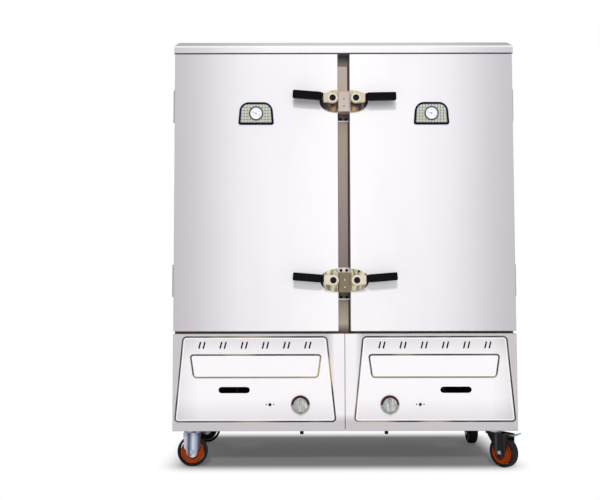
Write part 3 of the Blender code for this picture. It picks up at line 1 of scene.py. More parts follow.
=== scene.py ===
"""The looks of a double-door gas rice steamer cabinet on casters.

Blender 4.5, metres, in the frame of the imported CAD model. The sections follow the cabinet
as it is put together, from the chassis and casters up to the doors and their latches.
"""

import math

import bmesh
import bpy
from mathutils import Matrix, Vector


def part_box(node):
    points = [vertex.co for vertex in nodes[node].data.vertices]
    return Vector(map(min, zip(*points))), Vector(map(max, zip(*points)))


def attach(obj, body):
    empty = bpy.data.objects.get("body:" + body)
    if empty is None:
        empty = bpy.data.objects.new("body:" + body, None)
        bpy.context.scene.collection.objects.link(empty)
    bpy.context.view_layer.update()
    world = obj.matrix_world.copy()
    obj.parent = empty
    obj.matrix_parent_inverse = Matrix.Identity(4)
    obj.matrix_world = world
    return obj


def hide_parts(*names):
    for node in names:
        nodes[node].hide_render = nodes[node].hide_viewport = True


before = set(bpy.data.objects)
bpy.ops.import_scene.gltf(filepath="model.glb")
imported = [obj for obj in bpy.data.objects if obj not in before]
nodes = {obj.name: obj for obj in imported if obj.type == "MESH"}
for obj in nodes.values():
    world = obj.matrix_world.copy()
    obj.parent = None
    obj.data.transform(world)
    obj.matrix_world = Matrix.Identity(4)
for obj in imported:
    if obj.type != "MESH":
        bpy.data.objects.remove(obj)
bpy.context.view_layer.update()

# The camera stands a little left of the middle at chest height and looks slightly up.
# Its lens and place come from the corners of the doors and panels in the picture.
CAMERA_PLACE = (-0.1845, -3.4455, 0.7355)
CAMERA_PITCH_DEGREES = 2.994
CAMERA_ROLL_DEGREES = -0.0986
CAMERA_LENS_MM = 45.3
CAMERA_SENSOR_MM = 36.0

camera_data = bpy.data.cameras.new("camera")
camera_data.lens = CAMERA_LENS_MM
camera_data.sensor_width = CAMERA_SENSOR_MM
camera = bpy.data.objects.new("camera", camera_data)
bpy.context.scene.collection.objects.link(camera)
pitch = Matrix.Rotation(math.radians(90 + CAMERA_PITCH_DEGREES), 4, "X")
roll = Matrix.Rotation(math.radians(CAMERA_ROLL_DEGREES), 4, "Z")
camera.matrix_world = Matrix.Translation(CAMERA_PLACE) @ pitch @ roll
bpy.context.scene.camera = camera
bpy.context.scene.view_settings.view_transform = "Standard"


# Shader maths for every finish below: a value wraps one socket, and sums and products of
# values add their Math nodes. A finish is one material, with one way to add a node.
class ShaderValue:
    """One shader socket that can be used in Python expressions."""

    def __init__(self, finish, socket):
        self.finish = finish
        self.socket = socket

    def combined(self, operation, first, second=0.0):
        return self.finish.node("ShaderNodeMath", {"operation": operation}, {0: first, 1: second})

    def __add__(self, other):
        return self.combined("ADD", self, other)

    def __radd__(self, other):
        return self.combined("ADD", other, self)

    def __sub__(self, other):
        return self.combined("SUBTRACT", self, other)

    def __rsub__(self, other):
        return self.combined("SUBTRACT", other, self)

    def __mul__(self, other):
        return self.combined("MULTIPLY", self, other)

    def __rmul__(self, other):
        return self.combined("MULTIPLY", other, self)

    def __truediv__(self, other):
        return self.combined("DIVIDE", self, other)

    def __gt__(self, other):
        return self.combined("GREATER_THAN", self, other)

    def __lt__(self, other):
        return self.combined("LESS_THAN", self, other)

    def __abs__(self):
        return self.combined("ABSOLUTE", self)

    def at_least(self, other):
        return self.combined("MAXIMUM", self, other)

    def at_most(self, other):
        return self.combined("MINIMUM", self, other)

    def clamped(self):
        """The value held between zero and one."""
        return self.at_least(0.0).at_most(1.0)


class Finish:
    """A material whose nodes are all added by one method."""

    def __init__(self, name, colour, roughness, metallic=0.0, specular=0.5):
        self.material = bpy.data.materials.new(name)
        self.material.use_nodes = True
        self.tree = self.material.node_tree
        self.shader = self.tree.nodes["Principled BSDF"]
        self.shader.inputs["Base Color"].default_value = (*colour, 1)
        self.shader.inputs["Roughness"].default_value = roughness
        self.shader.inputs["Metallic"].default_value = metallic
        self.shader.inputs["Specular IOR Level"].default_value = specular

    def feed(self, socket, value):
        """Links a value to a socket, or writes a plain number or colour on it."""
        if isinstance(value, ShaderValue):
            self.tree.links.new(value.socket, socket)
        elif isinstance(value, tuple) and socket.type == "RGBA":
            socket.default_value = (*value, 1)
        else:
            socket.default_value = value

    def node(self, kind, settings=None, sockets=None, output=0):
        """A node of that kind with its settings made first, then its sockets."""
        made = self.tree.nodes.new(kind)
        for name, value in (settings or {}).items():
            if name == "stops":
                while len(made.color_ramp.elements) < len(value):
                    made.color_ramp.elements.new(1)
                for element, (place, colour) in zip(made.color_ramp.elements, value):
                    element.position = place
                    element.color = (*colour, 1)
            else:
                setattr(made, name, value)
        for name, value in (sockets or {}).items():
            self.feed(made.inputs[name], value)
        return ShaderValue(self, made.outputs[output])

    def place(self):
        """The point's X, Y and Z in the cabinet's frame, and the three as one vector."""
        point = self.node("ShaderNodeTexCoord", output=3)
        split = self.tree.nodes.new("ShaderNodeSeparateXYZ")
        self.feed(split.inputs[0], point)
        return [ShaderValue(self, end) for end in split.outputs] + [point]

    def scaled(self, point, scale):
        """A point with each of its axes stretched."""
        return self.node("ShaderNodeVectorMath", {"operation": "MULTIPLY"}, {0: point, 1: scale})

    def noise(self, point, scale, detail=2.0, roughness=0.5):
        """Soft noise from zero to one."""
        sockets = {"Vector": point, "Scale": scale, "Detail": detail, "Roughness": roughness}
        return self.node("ShaderNodeTexNoise", None, sockets)

    def mixed(self, factor, first, second):
        """A colour between two colours."""
        settings = {"data_type": "RGBA"}
        return self.node("ShaderNodeMix", settings, {0: factor, 6: first, 7: second}, 2)

    def ramp(self, factor, stops):
        """A colour from a row of (place, colour) stops."""
        return self.node("ShaderNodeValToRGB", {"stops": stops}, {"Fac": factor})

    def bumps(self, height, distance, strength=1.0):
        """A surface normal from a height."""
        sockets = {"Height": height, "Distance": distance, "Strength": strength}
        return self.node("ShaderNodeBump", None, sockets)

    def ends(self, **values):
        """Feeds the shader's sockets, named in plain words."""
        for name, value in values.items():
            self.feed(self.shader.inputs[name.replace("_", " ").title()], value)
        return self.material


# The room: a floor with the cabinet's shade painted on it, white a hand's length past that,
# a soft lamp high in front, a weaker one from the right, and a white world for the metal.
FLOOR_SIZE = 60.0
SHADOW_HALF_X = 0.63
SHADOW_FRONT_Y = -0.225
SHADOW_BACK_Y = 0.34
FLOOR_FADE = 0.17
FLOOR_COLOUR = (0.85, 0.85, 0.85)
FLOOR_SHADED = (0.17, 0.165, 0.17)
FLOOR_GLOW_SHARE = 0.085
WORLD_LIGHT = 0.32
KEY_PLACE = (-0.75, -11.0, 7.4)
KEY_SIZE = 1.5
KEY_POWER = 985.0
FILL_PLACE = (3.4, -4.6, 2.0)
FILL_SIZE = 2.4
FILL_POWER = 14.0
LOOK_AT = (0.0, -0.3, 0.9)


def corner_to_corner(first, second):
    """The straight distance that two sides at a right angle span."""
    squares = first * first + second * second
    return squares.finish.node("ShaderNodeMath", {"operation": "SQRT"}, {0: squares})


bpy.ops.object.select_all(action="DESELECT")
bpy.ops.mesh.primitive_plane_add(size=FLOOR_SIZE)
floor = bpy.context.object
floor.name = "floor"
floor_finish = Finish("floor_paint", FLOOR_COLOUR, 0.9)
floor_x, floor_y, _, _ = floor_finish.place()
shadow_middle_y = (SHADOW_FRONT_Y + SHADOW_BACK_Y) / 2
shadow_half_y = (SHADOW_BACK_Y - SHADOW_FRONT_Y) / 2
past_x = (abs(floor_x) - SHADOW_HALF_X).at_least(0.0)
past_y = (abs(floor_y - shadow_middle_y) - shadow_half_y).at_least(0.0)
outward = (corner_to_corner(past_x, past_y) / FLOOR_FADE).at_most(1.0)
eased = outward * outward * (3.0 - outward * 2.0)
fade = eased * (1.0 - FLOOR_GLOW_SHARE) + FLOOR_GLOW_SHARE
floor_finish.ends(base_color=floor_finish.mixed(fade, FLOOR_SHADED, FLOOR_COLOUR))
glow = floor_finish.node("ShaderNodeEmission", None, {"Color": (1.0, 1.0, 1.0), "Strength": 1.0})
rays = floor_finish.tree.nodes.new("ShaderNodeLightPath")
seen = ShaderValue(floor_finish, rays.outputs["Is Camera Ray"])
seen = seen.at_least(ShaderValue(floor_finish, rays.outputs["Is Glossy Ray"]))
seen = seen.at_least(ShaderValue(floor_finish, rays.outputs["Is Transmission Ray"]))
mix = floor_finish.tree.nodes.new("ShaderNodeMixShader")
floor_finish.feed(mix.inputs[0], fade * seen)
floor_finish.tree.links.new(floor_finish.shader.outputs[0], mix.inputs[1])
floor_finish.feed(mix.inputs[2], glow)
floor_end = floor_finish.tree.nodes["Material Output"]
floor_finish.tree.links.new(mix.outputs[0], floor_end.inputs[0])
floor.data.materials.append(floor_finish.material)

world = bpy.data.worlds.new("white_room")
bpy.context.scene.world = world
world.use_nodes = True
world_nodes = world.node_tree.nodes
world_links = world.node_tree.links
world_paths = world_nodes.new("ShaderNodeLightPath")
glossy_too = world_nodes.new("ShaderNodeMath")
glossy_too.operation = "MAXIMUM"
world_links.new(world_paths.outputs["Is Camera Ray"], glossy_too.inputs[0])
world_links.new(world_paths.outputs["Is Glossy Ray"], glossy_too.inputs[1])
clear_too = world_nodes.new("ShaderNodeMath")
clear_too.operation = "MAXIMUM"
world_links.new(glossy_too.outputs[0], clear_too.inputs[0])
world_links.new(world_paths.outputs["Is Transmission Ray"], clear_too.inputs[1])
strength = world_nodes.new("ShaderNodeMapRange")
world_links.new(clear_too.outputs[0], strength.inputs["Value"])
strength.inputs["To Min"].default_value = WORLD_LIGHT
strength.inputs["To Max"].default_value = 1.0
world_nodes["Background"].inputs["Color"].default_value = (1, 1, 1, 1)
world_links.new(strength.outputs[0], world_nodes["Background"].inputs["Strength"])


def hung_lamp(name, place, size, power):
    """A square soft lamp that faces the cabinet, and that the metal doesn't mirror."""
    lamp_data = bpy.data.lights.new(name, "AREA")
    lamp_data.shape = "SQUARE"
    lamp_data.size = size
    lamp_data.energy = power
    lamp = bpy.data.objects.new(name, lamp_data)
    lamp.visible_glossy = False
    bpy.context.scene.collection.objects.link(lamp)
    aim = Vector(LOOK_AT) - Vector(place)
    lamp.matrix_world = Matrix.Translation(place) @ aim.to_track_quat("-Z", "Y").to_matrix().to_4x4()


hung_lamp("key_lamp", KEY_PLACE, KEY_SIZE, KEY_POWER)
hung_lamp("fill_lamp", FILL_PLACE, FILL_SIZE, FILL_POWER)


# The chassis is welded from square steel tube, with a drain stub under each side and the
# plates and ball races of the swivel casters bolted beneath. It is brushed steel.
STEEL_COLOUR = (0.60, 0.575, 0.60)
STEEL_DARK = (0.50, 0.475, 0.50)
GRAIN_ALONG = 5.0
GRAIN_ACROSS = 900.0
SMUDGE_SCALE = 3.5
# Near black for the inside of the burner bay: soot and painted shade.
SOOT_AND_SHADE = (0.004, 0.0035, 0.0035)
BAY_HALF_X = 0.66
BAY_FRONT_Y = -0.2500
BAY_BACK_Y = 0.3240
BAY_FLOOR_Z = 0.1570
BAY_CEILING_Z = 0.5500


def brushed_steel(name, colour, dark, grain, roughness=0.30, metallic=0.85):
    """Brushed sheet: long fine scratches along one axis, faint smudges, and soot and painted shade
    in the burner bay.
    """
    finish = Finish(name, colour, roughness, metallic)
    x, y, z, point = finish.place()
    stretch = tuple(GRAIN_ALONG if axis == grain else GRAIN_ACROSS for axis in "XYZ")
    scratches = finish.noise(finish.scaled(point, stretch), 1.0, 3.0, 0.6)
    smudges = finish.noise(point, SMUDGE_SCALE, 3.0)
    tone = scratches * 0.35 + smudges * 0.65
    steel = finish.mixed(tone, dark, colour)
    # Inside the burner bay the steel is painted near black, as soot and painted shade.
    soot_and_shade_mask = (abs(x) < BAY_HALF_X) * (y > BAY_FRONT_Y) * (y < BAY_BACK_Y)
    soot_and_shade_mask = soot_and_shade_mask * (z > BAY_FLOOR_Z) * (z < BAY_CEILING_Z)
    finish.ends(
        base_color=finish.mixed(soot_and_shade_mask, steel, SOOT_AND_SHADE),
        roughness=roughness - 0.05 + scratches * 0.06 + smudges * 0.06,
        normal=finish.bumps(scratches, 0.00005, 0.15),
    )
    return finish


def dressed(finish_material, *names):
    """Gives CAD nodes a material in place of their own."""
    for name in names:
        mesh = nodes[name].data
        mesh.materials.clear()
        mesh.materials.append(finish_material)


chassis_steel = brushed_steel("chassis_steel", STEEL_COLOUR, STEEL_DARK, "X", 0.32, 0.6)
dressed(chassis_steel.material, "base_frame")

# Four 125 mm casters: a black rubber tyre moulded on an orange-red nylon core, on a bolt
# between the legs of a fork. The rear cores are painted near black, as painted shade.
# The right-hand pair swivel.
BLACK_SHEEN = 0.05
WHEEL_RADIUS = 0.0625
WHEEL_HALF_WIDTH = 0.018
WHEEL_STEPS = 56
TYRE_BAND = 0.0150
TREAD_ROUND = 0.0085
CORE_RADIUS = WHEEL_RADIUS - TYRE_BAND + 0.0006
CORE_HALF_WIDTH = 0.0165
CORE_RIM = 0.0055
CORE_DISH = 0.0060
CORE_SLOPE = 0.0025
CORE_ROUND = 0.0007
HUB_RADIUS = 0.0170
HUB_REACH = 0.0190
HUB_SLOPE = 0.0015
BORE_STEPS = ((0.0050, 0.0), (0.0008, -0.0020))
TYRE_LIP = (0.0006, -0.0020)
HEADINGS = {"front_left": 0.0, "rear_left": 0.0, "front_right": -53.0, "rear_right": -90.0}
TYRE_COLOUR = (0.008, 0.007, 0.009)
TYRE_WORN = (0.030, 0.028, 0.031)
CORE_COLOUR = (0.430, 0.062, 0.006)
CORE_SHADED = (0.230, 0.026, 0.003)
SHADOWED_REAR_CORE = (0.050, 0.006, 0.004)
SHADOWED_REAR_CORE_DARK = (0.014, 0.003, 0.003)


def nothing_selected():
    """Leaves object mode with nothing selected."""
    if bpy.context.object and bpy.context.object.mode != "OBJECT":
        bpy.ops.object.mode_set(mode="OBJECT")
    bpy.ops.object.select_all(action="DESELECT")


def cylinder_along_y(name, radius, half_length, steps):
    """A cylinder primitive about the Y axis, open for editing."""
    nothing_selected()
    bpy.ops.mesh.primitive_cylinder_add(vertices=steps, radius=radius, depth=2 * half_length)
    piece = bpy.context.object
    piece.name = name
    piece.rotation_euler = (math.pi / 2, 0, 0)
    bpy.ops.object.transform_apply(location=False, rotation=True, scale=False)
    bpy.ops.object.mode_set(mode="EDIT")
    return piece


def pick_faces(piece, wanted):
    """Selects the faces that pass a test, in edit mode."""
    bpy.ops.mesh.select_mode(type="FACE")
    bpy.ops.mesh.select_all(action="DESELECT")
    mesh = bmesh.from_edit_mesh(piece.data)
    mesh.normal_update()
    for face in mesh.faces:
        face.select_set(bool(wanted(face)))
    bmesh.update_edit_mesh(piece.data)


def pick_edges(piece, wanted):
    """Selects the edges that pass a test, in edit mode."""
    bpy.ops.mesh.select_mode(type="EDGE")
    bpy.ops.mesh.select_all(action="DESELECT")
    mesh = bmesh.from_edit_mesh(piece.data)
    mesh.normal_update()
    for edge in mesh.edges:
        edge.select_set(bool(wanted(edge)))
    bmesh.update_edit_mesh(piece.data)


def shaded(piece, angle=35.0):
    """Closes editing and shades the piece smooth but for its sharp edges."""
    nothing_selected()
    piece.select_set(True)
    bpy.context.view_layer.objects.active = piece
    bpy.ops.object.shade_smooth_by_angle(angle=math.radians(angle))
    return piece


def edge_bevelled(piece, width, segments=2, angle=30.0):
    """Rounds every sharp edge of a piece."""
    nothing_selected()
    piece.select_set(True)
    bpy.context.view_layer.objects.active = piece
    rounding = piece.modifiers.new("rounding", "BEVEL")
    rounding.width = width
    rounding.segments = segments
    rounding.limit_method = "ANGLE"
    rounding.angle_limit = math.radians(angle)
    bpy.ops.object.modifier_apply(modifier=rounding.name)
    return piece


def stepped(*steps):
    """Insets the picked faces step by step, each step an inset and a rise."""
    for thickness, depth in steps:
        bpy.ops.mesh.inset(thickness=thickness, depth=depth)


def all_moved(x, y, z):
    """Moves the whole of the piece that is being edited."""
    bpy.ops.mesh.select_all(action="SELECT")
    bpy.ops.transform.translate(value=(x, y, z))


def coat(piece, finish_material):
    """Gives a piece one material."""
    piece.data.materials.clear()
    piece.data.materials.append(finish_material)
    return piece


def copied(piece, name, matrix):
    """A copy with a mesh of its own, carried by a matrix."""
    twin = piece.copy()
    twin.data = piece.data.copy()
    twin.name = name
    twin.data.name = name
    bpy.context.scene.collection.objects.link(twin)
    twin.data.transform(matrix)
    if matrix.determinant() < 0:
        twin.data.flip_normals()
    return twin


def end_caps(face):
    return abs(face.normal.y) > 0.9


tyre = cylinder_along_y("tyre", WHEEL_RADIUS, WHEEL_HALF_WIDTH, WHEEL_STEPS)
pick_faces(tyre, end_caps)
bpy.ops.mesh.region_to_loop()
bpy.ops.mesh.bevel(offset=TREAD_ROUND, segments=6, profile=0.6, affect="EDGES")
pick_faces(tyre, end_caps)
stepped((TYRE_BAND - TREAD_ROUND, 0.0), TYRE_LIP)
bpy.ops.mesh.delete(type="FACE")
pick_edges(tyre, lambda edge: edge.is_boundary)
bpy.ops.mesh.bridge_edge_loops()
shaded(tyre)

core = cylinder_along_y("wheel_core", CORE_RADIUS, CORE_HALF_WIDTH, WHEEL_STEPS)
pick_faces(core, end_caps)
core_web = CORE_RADIUS - CORE_RIM - CORE_SLOPE - HUB_RADIUS - HUB_SLOPE
stepped((CORE_RIM, 0.0), (CORE_SLOPE, -CORE_DISH), (core_web, 0.0))
stepped((HUB_SLOPE, CORE_DISH + HUB_REACH - CORE_HALF_WIDTH), *BORE_STEPS)
edge_bevelled(core, CORE_ROUND)
shaded(core)

rubber = Finish("tyre_rubber", TYRE_COLOUR, 0.62, specular=BLACK_SHEEN)
rubber_point = rubber.place()[3]
scuffs = rubber.noise(rubber_point, 38.0, 4.0, 0.65)
rubber.ends(
    base_color=rubber.mixed(scuffs, TYRE_COLOUR, TYRE_WORN),
    roughness=0.48 + scuffs * 0.30,
    normal=rubber.bumps(scuffs, 0.0004, 0.4),
)


def core_nylon(name, colour, shaded_colour):
    """Moulded nylon, mottled by dust and heat."""
    finish = Finish(name, colour, 0.38, specular=BLACK_SHEEN)
    point = finish.place()[3]
    mottle = finish.noise(point, 22.0, 3.0)
    finish.ends(
        base_color=finish.mixed(mottle, shaded_colour, colour),
        roughness=0.30 + mottle * 0.18,
        normal=finish.bumps(finish.noise(point, 300.0), 0.0001, 0.3),
    )
    return finish.material


front_nylon = core_nylon("front_core_nylon", CORE_COLOUR, CORE_SHADED)
# The rear cores are the same nylon painted near black, as painted shade.
shadowed_rear_nylon = core_nylon("shadowed_rear_core_nylon", SHADOWED_REAR_CORE, SHADOWED_REAR_CORE_DARK)
for place, heading in HEADINGS.items():
    low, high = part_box(f"{place}_caster_wheel")
    hub = Matrix.Translation((low + high) / 2)
    turn = Matrix.Rotation(math.radians(heading), 4, "Z")
    body = f"{place}_wheel"
    wheel_tyre = coat(copied(tyre, f"{place}_tyre", hub @ turn), rubber.material)
    nylon = front_nylon if place.startswith("front") else shadowed_rear_nylon
    wheel_core = coat(copied(core, f"{place}_wheel_core", hub @ turn), nylon)
    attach(wheel_tyre, body)
    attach(wheel_core, body)
    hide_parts(f"{place}_caster_wheel")
bpy.data.objects.remove(tyre)
bpy.data.objects.remove(core)

# A rubber plug closes each drain stub under the front rail. It is a turned cap with a
# recessed foot, pushed over the stub.
PLUG_RADIUS = 0.0078
PLUG_TOP_Z = 0.1490
PLUG_HEIGHT = 0.0200
PLUG_X = 0.178
PLUG_Y = -0.2320
PLUG_RIM = ((0.0016, 0.0012), (0.0018, 0.0), (0.0005, -0.0015))
SIDES = {"left": -1, "right": 1}

nothing_selected()
bpy.ops.mesh.primitive_cylinder_add(
    vertices=32,
    radius=PLUG_RADIUS,
    depth=PLUG_HEIGHT,
    location=(0, PLUG_Y, PLUG_TOP_Z - PLUG_HEIGHT / 2),
)
plug = bpy.context.object
plug.name = "drain_plug"
bpy.ops.object.transform_apply(location=True, rotation=True, scale=True)
bpy.ops.object.mode_set(mode="EDIT")
pick_faces(plug, lambda face: face.normal.z < -0.9)
stepped(*PLUG_RIM)
shaded(plug)
for side_name, side in SIDES.items():
    plug_place = Matrix.Translation((side * PLUG_X, 0, 0))
    placed_plug = copied(plug, f"{side_name}_drain_plug", plug_place)
    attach(coat(placed_plug, rubber.material), "cabinet")
bpy.data.objects.remove(plug)

# The forks are pressed from 3 mm steel. The left pair is zinc plated, a cool bluish grey
# with cloudy spangle, and the right pair is black. The brake lever is plated, on a black body.
ZINC_COLOUR = (0.24, 0.26, 0.33)
ZINC_DARK = (0.040, 0.045, 0.075)
ZINC_LIGHT = (0.62, 0.65, 0.78)
FORK_BLACK = (0.012, 0.011, 0.014)
FORK_GLINT = (0.10, 0.10, 0.12)
ZINC_CLOUD = 55.0
PEDAL_BLUE = (0.14, 0.27, 0.35)
PEDAL_BLACK = (0.012, 0.012, 0.014)
PEDAL_REST_Z = 0.1370


def plated(name, dark, middle, light):
    """Plated pressed steel whose folds carry upright bands of painted dark and light reflection."""
    finish = Finish(name, middle, 0.34, 0.7)
    point = finish.place()[3]
    spangle = finish.node("ShaderNodeTexVoronoi", None, {"Vector": point, "Scale": ZINC_CLOUD})
    streaks = finish.noise(finish.scaled(point, (75.0, 75.0, 3.0)), 1.0, 1.0)
    # Upright bands of painted reflection.
    reflection_bands = ((streaks - 0.32) * 2.8).clamped()
    colour = finish.ramp(reflection_bands, [(0.0, dark), (0.45, middle), (1.0, light)])
    finish.ends(
        base_color=finish.mixed(spangle * 0.3, colour, middle),
        roughness=0.26 + spangle * 0.2,
        normal=finish.bumps(spangle, 0.0001, 0.2),
    )
    return finish.material


zinc = plated("fork_zinc", ZINC_DARK, ZINC_COLOUR, ZINC_LIGHT)
dressed(zinc, "rear_left_caster_fork", "front_left_caster_fork")
black_plate = plated("fork_black", FORK_BLACK, FORK_BLACK, FORK_GLINT)
dressed(black_plate, "front_right_caster_fork", "rear_right_caster_fork")
pedal = Finish("brake_lever_plating", PEDAL_BLUE, 0.35, 0.5)
_, _, pedal_z, pedal_point = pedal.place()
rubbed = pedal.noise(pedal_point, 90.0, 3.0)
lever_part = pedal_z > PEDAL_REST_Z
pedal.ends(
    base_color=pedal.mixed(lever_part, PEDAL_BLACK, PEDAL_BLUE),
    roughness=0.30 + rubbed * 0.22,
    metallic=lever_part * 0.6,
    normal=pedal.bumps(rubbed, 0.0002, 0.3),
)
dressed(pedal.material, "front_right_brake_pedal")

# Each fork leg is pressed with a wide cheek, a raised rib down its middle and a round foot
# about the axle bolt, whose head shows bright. The zinc cheeks' shine is painted in bands.
CHEEK_TOP_HALF = 0.0365
CHEEK_TOP_Z = 0.1405
CHEEK_WAIST_HALF = 0.0330
CHEEK_WAIST_Z = 0.0800
CHEEK_FOOT_RADIUS = 0.0235
CHEEK_FOOT_STEPS = 48
CHEEK_CUT_RISE = 0.004
CHEEK_INNER_Y = 0.0236
CHEEK_THICKNESS = 0.0018
RIB_HALF = 0.0145
RIB_RISE = 0.0022
RIB_FOOT_DROP = 0.006
RIB_FOOT_TAPER = 0.62
RIB_STEPS = ((0.0022, 0.0), (0.0020, -0.0008))
AXLE_HEAD_RADIUS = 0.0085
AXLE_HEAD_RISE = 0.0052
AXLE_HEAD_STEPS = ((0.0010, 0.0010), (0.0022, 0.0), (0.0004, 0.0008))
LEG_TURNS = {"outer": 0.0, "inner": 180.0}
FACING = 0.9
RIGID_CASTER_X = -0.635
ZINC_FOLDS = [
    (0.0, (0.30, 0.31, 0.42)),
    (0.10, (0.62, 0.65, 0.78)),
    (0.22, (0.27, 0.30, 0.40)),
    (0.33, (0.05, 0.06, 0.10)),
    (0.43, (0.25, 0.28, 0.38)),
    (0.56, (0.68, 0.71, 0.82)),
    (0.74, (0.36, 0.39, 0.48)),
    (0.86, (0.07, 0.08, 0.13)),
    (1.0, (0.03, 0.03, 0.05)),
]
AXLE_BRIGHT = (0.62, 0.63, 0.70)
AXLE_DULL = (0.38, 0.39, 0.46)


def front_face(face):
    """A test for faces that look to the front."""
    return face.normal.y < -FACING


def block(name, size, middle):
    """A cube primitive stretched to a size about its middle."""
    nothing_selected()
    bpy.ops.mesh.primitive_cube_add(size=1.0, location=middle)
    piece = bpy.context.object
    piece.name = name
    piece.scale = size
    bpy.ops.object.transform_apply(location=True, rotation=True, scale=True)
    return piece


cheek = cylinder_along_y("fork_cheek", CHEEK_FOOT_RADIUS, CHEEK_THICKNESS / 2, CHEEK_FOOT_STEPS)
bpy.ops.mesh.select_mode(type="VERT")
bpy.ops.mesh.select_all(action="SELECT")
cut_place = (0, 0, CHEEK_CUT_RISE)
bpy.ops.mesh.bisect(plane_co=cut_place, plane_no=(0, 0, 1), clear_outer=True, use_fill=True)
pick_faces(cheek, lambda face: face.normal.z > FACING)
for row_z, half in ((CHEEK_WAIST_Z, CHEEK_WAIST_HALF), (CHEEK_TOP_Z, CHEEK_TOP_HALF)):
    bpy.ops.mesh.extrude_region_move(TRANSFORM_OT_translate={"value": cut_place})
    cheek_mesh = bmesh.from_edit_mesh(cheek.data)
    for vertex in cheek_mesh.verts:
        if vertex.select:
            vertex.co.x = math.copysign(half, vertex.co.x)
            vertex.co.z = row_z - WHEEL_RADIUS
    bmesh.update_edit_mesh(cheek.data)
bpy.ops.mesh.select_all(action="SELECT")
bpy.ops.mesh.remove_doubles(threshold=0.00005)
bpy.ops.mesh.normals_make_consistent(inside=False)
all_moved(0, -CHEEK_INNER_Y - CHEEK_THICKNESS / 2, WHEEL_RADIUS)
shaded(cheek)

rib_foot = WHEEL_RADIUS - RIB_FOOT_DROP
rib_size = (2 * RIB_HALF, RIB_RISE, CHEEK_TOP_Z - rib_foot)
rib_y = -CHEEK_INNER_Y - CHEEK_THICKNESS - RIB_RISE / 2
rib = block("fork_rib", rib_size, (0, rib_y, (CHEEK_TOP_Z + rib_foot) / 2))
bpy.ops.object.mode_set(mode="EDIT")


def rib_foot_edges(edge):
    first, second = [end.co for end in edge.verts]
    return max(first.z, second.z) < rib_foot + 1e-5 and abs(first.y - second.y) < 1e-6


pick_edges(rib, rib_foot_edges)
bpy.ops.transform.resize(value=(RIB_FOOT_TAPER, 1, 1), center_override=(0, 0, rib_foot))
pick_faces(rib, front_face)
stepped(*RIB_STEPS)
bpy.ops.mesh.select_all(action="SELECT")
bpy.ops.mesh.normals_make_consistent(inside=False)
shaded(rib)

axle_head = cylinder_along_y("axle_head", AXLE_HEAD_RADIUS, AXLE_HEAD_RISE / 2, 6)
all_moved(0, rib_y - AXLE_HEAD_RISE / 2, WHEEL_RADIUS)
pick_faces(axle_head, front_face)
stepped(*AXLE_HEAD_STEPS)
shaded(axle_head)

cheek_zinc = Finish("cheek_zinc", ZINC_FOLDS[1][1], 0.30, 0.5)
cheek_x, _, _, cheek_point = cheek_zinc.place()
fold_share = (cheek_x - RIGID_CASTER_X + CHEEK_TOP_HALF) / (2 * CHEEK_TOP_HALF)
cheek_spangle = cheek_zinc.node(
    "ShaderNodeTexVoronoi", None, {"Vector": cheek_point, "Scale": ZINC_CLOUD}
)
wander = cheek_zinc.noise(cheek_zinc.scaled(cheek_point, (20.0, 20.0, 14.0)), 1.0, 2.0)
cheek_zinc.ends(
    base_color=cheek_zinc.ramp(fold_share + (wander - 0.5) * 0.10, ZINC_FOLDS),
    roughness=0.24 + cheek_spangle * 0.2,
    normal=cheek_zinc.bumps(cheek_spangle, 0.0001, 0.2),
)
axle_steel = Finish("axle_head_steel", AXLE_BRIGHT, 0.3, 0.6)
axle_noise = axle_steel.noise(axle_steel.place()[3], 260.0, 3.0)
axle_steel.ends(
    base_color=axle_steel.mixed(axle_noise, AXLE_DULL, AXLE_BRIGHT),
    roughness=0.24 + axle_noise * 0.2,
)
for place, heading in HEADINGS.items():
    low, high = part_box(f"{place}_caster_wheel")
    foot = Matrix.Translation(((low[0] + high[0]) / 2, (low[1] + high[1]) / 2, 0))
    rigid = place.endswith("left")
    plate = cheek_zinc.material if rigid else black_plate
    leg_parts = {
        "cheek": (cheek, plate),
        "rib": (rib, plate),
        "axle_head": (axle_head, axle_steel.material),
    }
    for leg_name, leg_turn in LEG_TURNS.items():
        turn = Matrix.Rotation(math.radians(heading + leg_turn), 4, "Z")
        for part_name, (part, part_material) in leg_parts.items():
            placed_part = copied(part, f"{place}_{leg_name}_{part_name}", foot @ turn)
            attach(coat(placed_part, part_material), "cabinet" if rigid else f"{place}_fork")
for part in (cheek, rib, axle_head):
    bpy.data.objects.remove(part)

# The side and back walls are foam-filled sheet steel, brushed upright. The wall between the
# chambers and the steam chambers' linings are the same steel, duller from scale and steam.
WALL_COLOUR = (0.72, 0.71, 0.73)
WALL_DARK = (0.57, 0.56, 0.58)
LINING_COLOUR = (0.64, 0.63, 0.63)
LINING_DARK = (0.46, 0.45, 0.44)

wall_steel = brushed_steel("wall_steel", WALL_COLOUR, WALL_DARK, "Z", 0.32)
dressed(wall_steel.material, "left_side_panel", "right_side_panel", "back_panel")
lining_steel = brushed_steel("lining_steel", LINING_COLOUR, LINING_DARK, "Z", 0.36)
dressed(lining_steel.material, "centre_partition", "left_water_tank", "right_water_tank")

# The face frame's mullion stands between the doors, dull and streaked. The warm room that it
# mirrors is painted in by height, darker at the top under the lid, with painted shade on its right
# edge.
MULLION_TAN = (0.60, 0.49, 0.40)
MULLION_DULL = (0.25, 0.20, 0.185)
MULLION_SHADE = (0.045, 0.030, 0.028)
MULLION_SHADE_START = 0.0185
MULLION_SHADE_END = 0.0455
MULLION_TOP_DARK = (0.12, 0.10, 0.09)
MULLION_DARK_LOW = 1.6875
MULLION_TOP = 1.70
MULLION_FOOT = 0.56
MULLION_ROOM_REFLECTION = [
    (0.0, (0.10, 0.07, 0.045)),
    (0.03, (0.52, 0.45, 0.34)),
    (0.10, (0.30, 0.26, 0.19)),
    (0.24, (0.26, 0.205, 0.200)),
    (0.52, (0.38, 0.305, 0.265)),
    (0.72, (0.43, 0.36, 0.29)),
    (0.80, (0.35, 0.285, 0.25)),
    (0.88, (0.56, 0.485, 0.39)),
    (1.0, (0.62, 0.52, 0.45)),
]

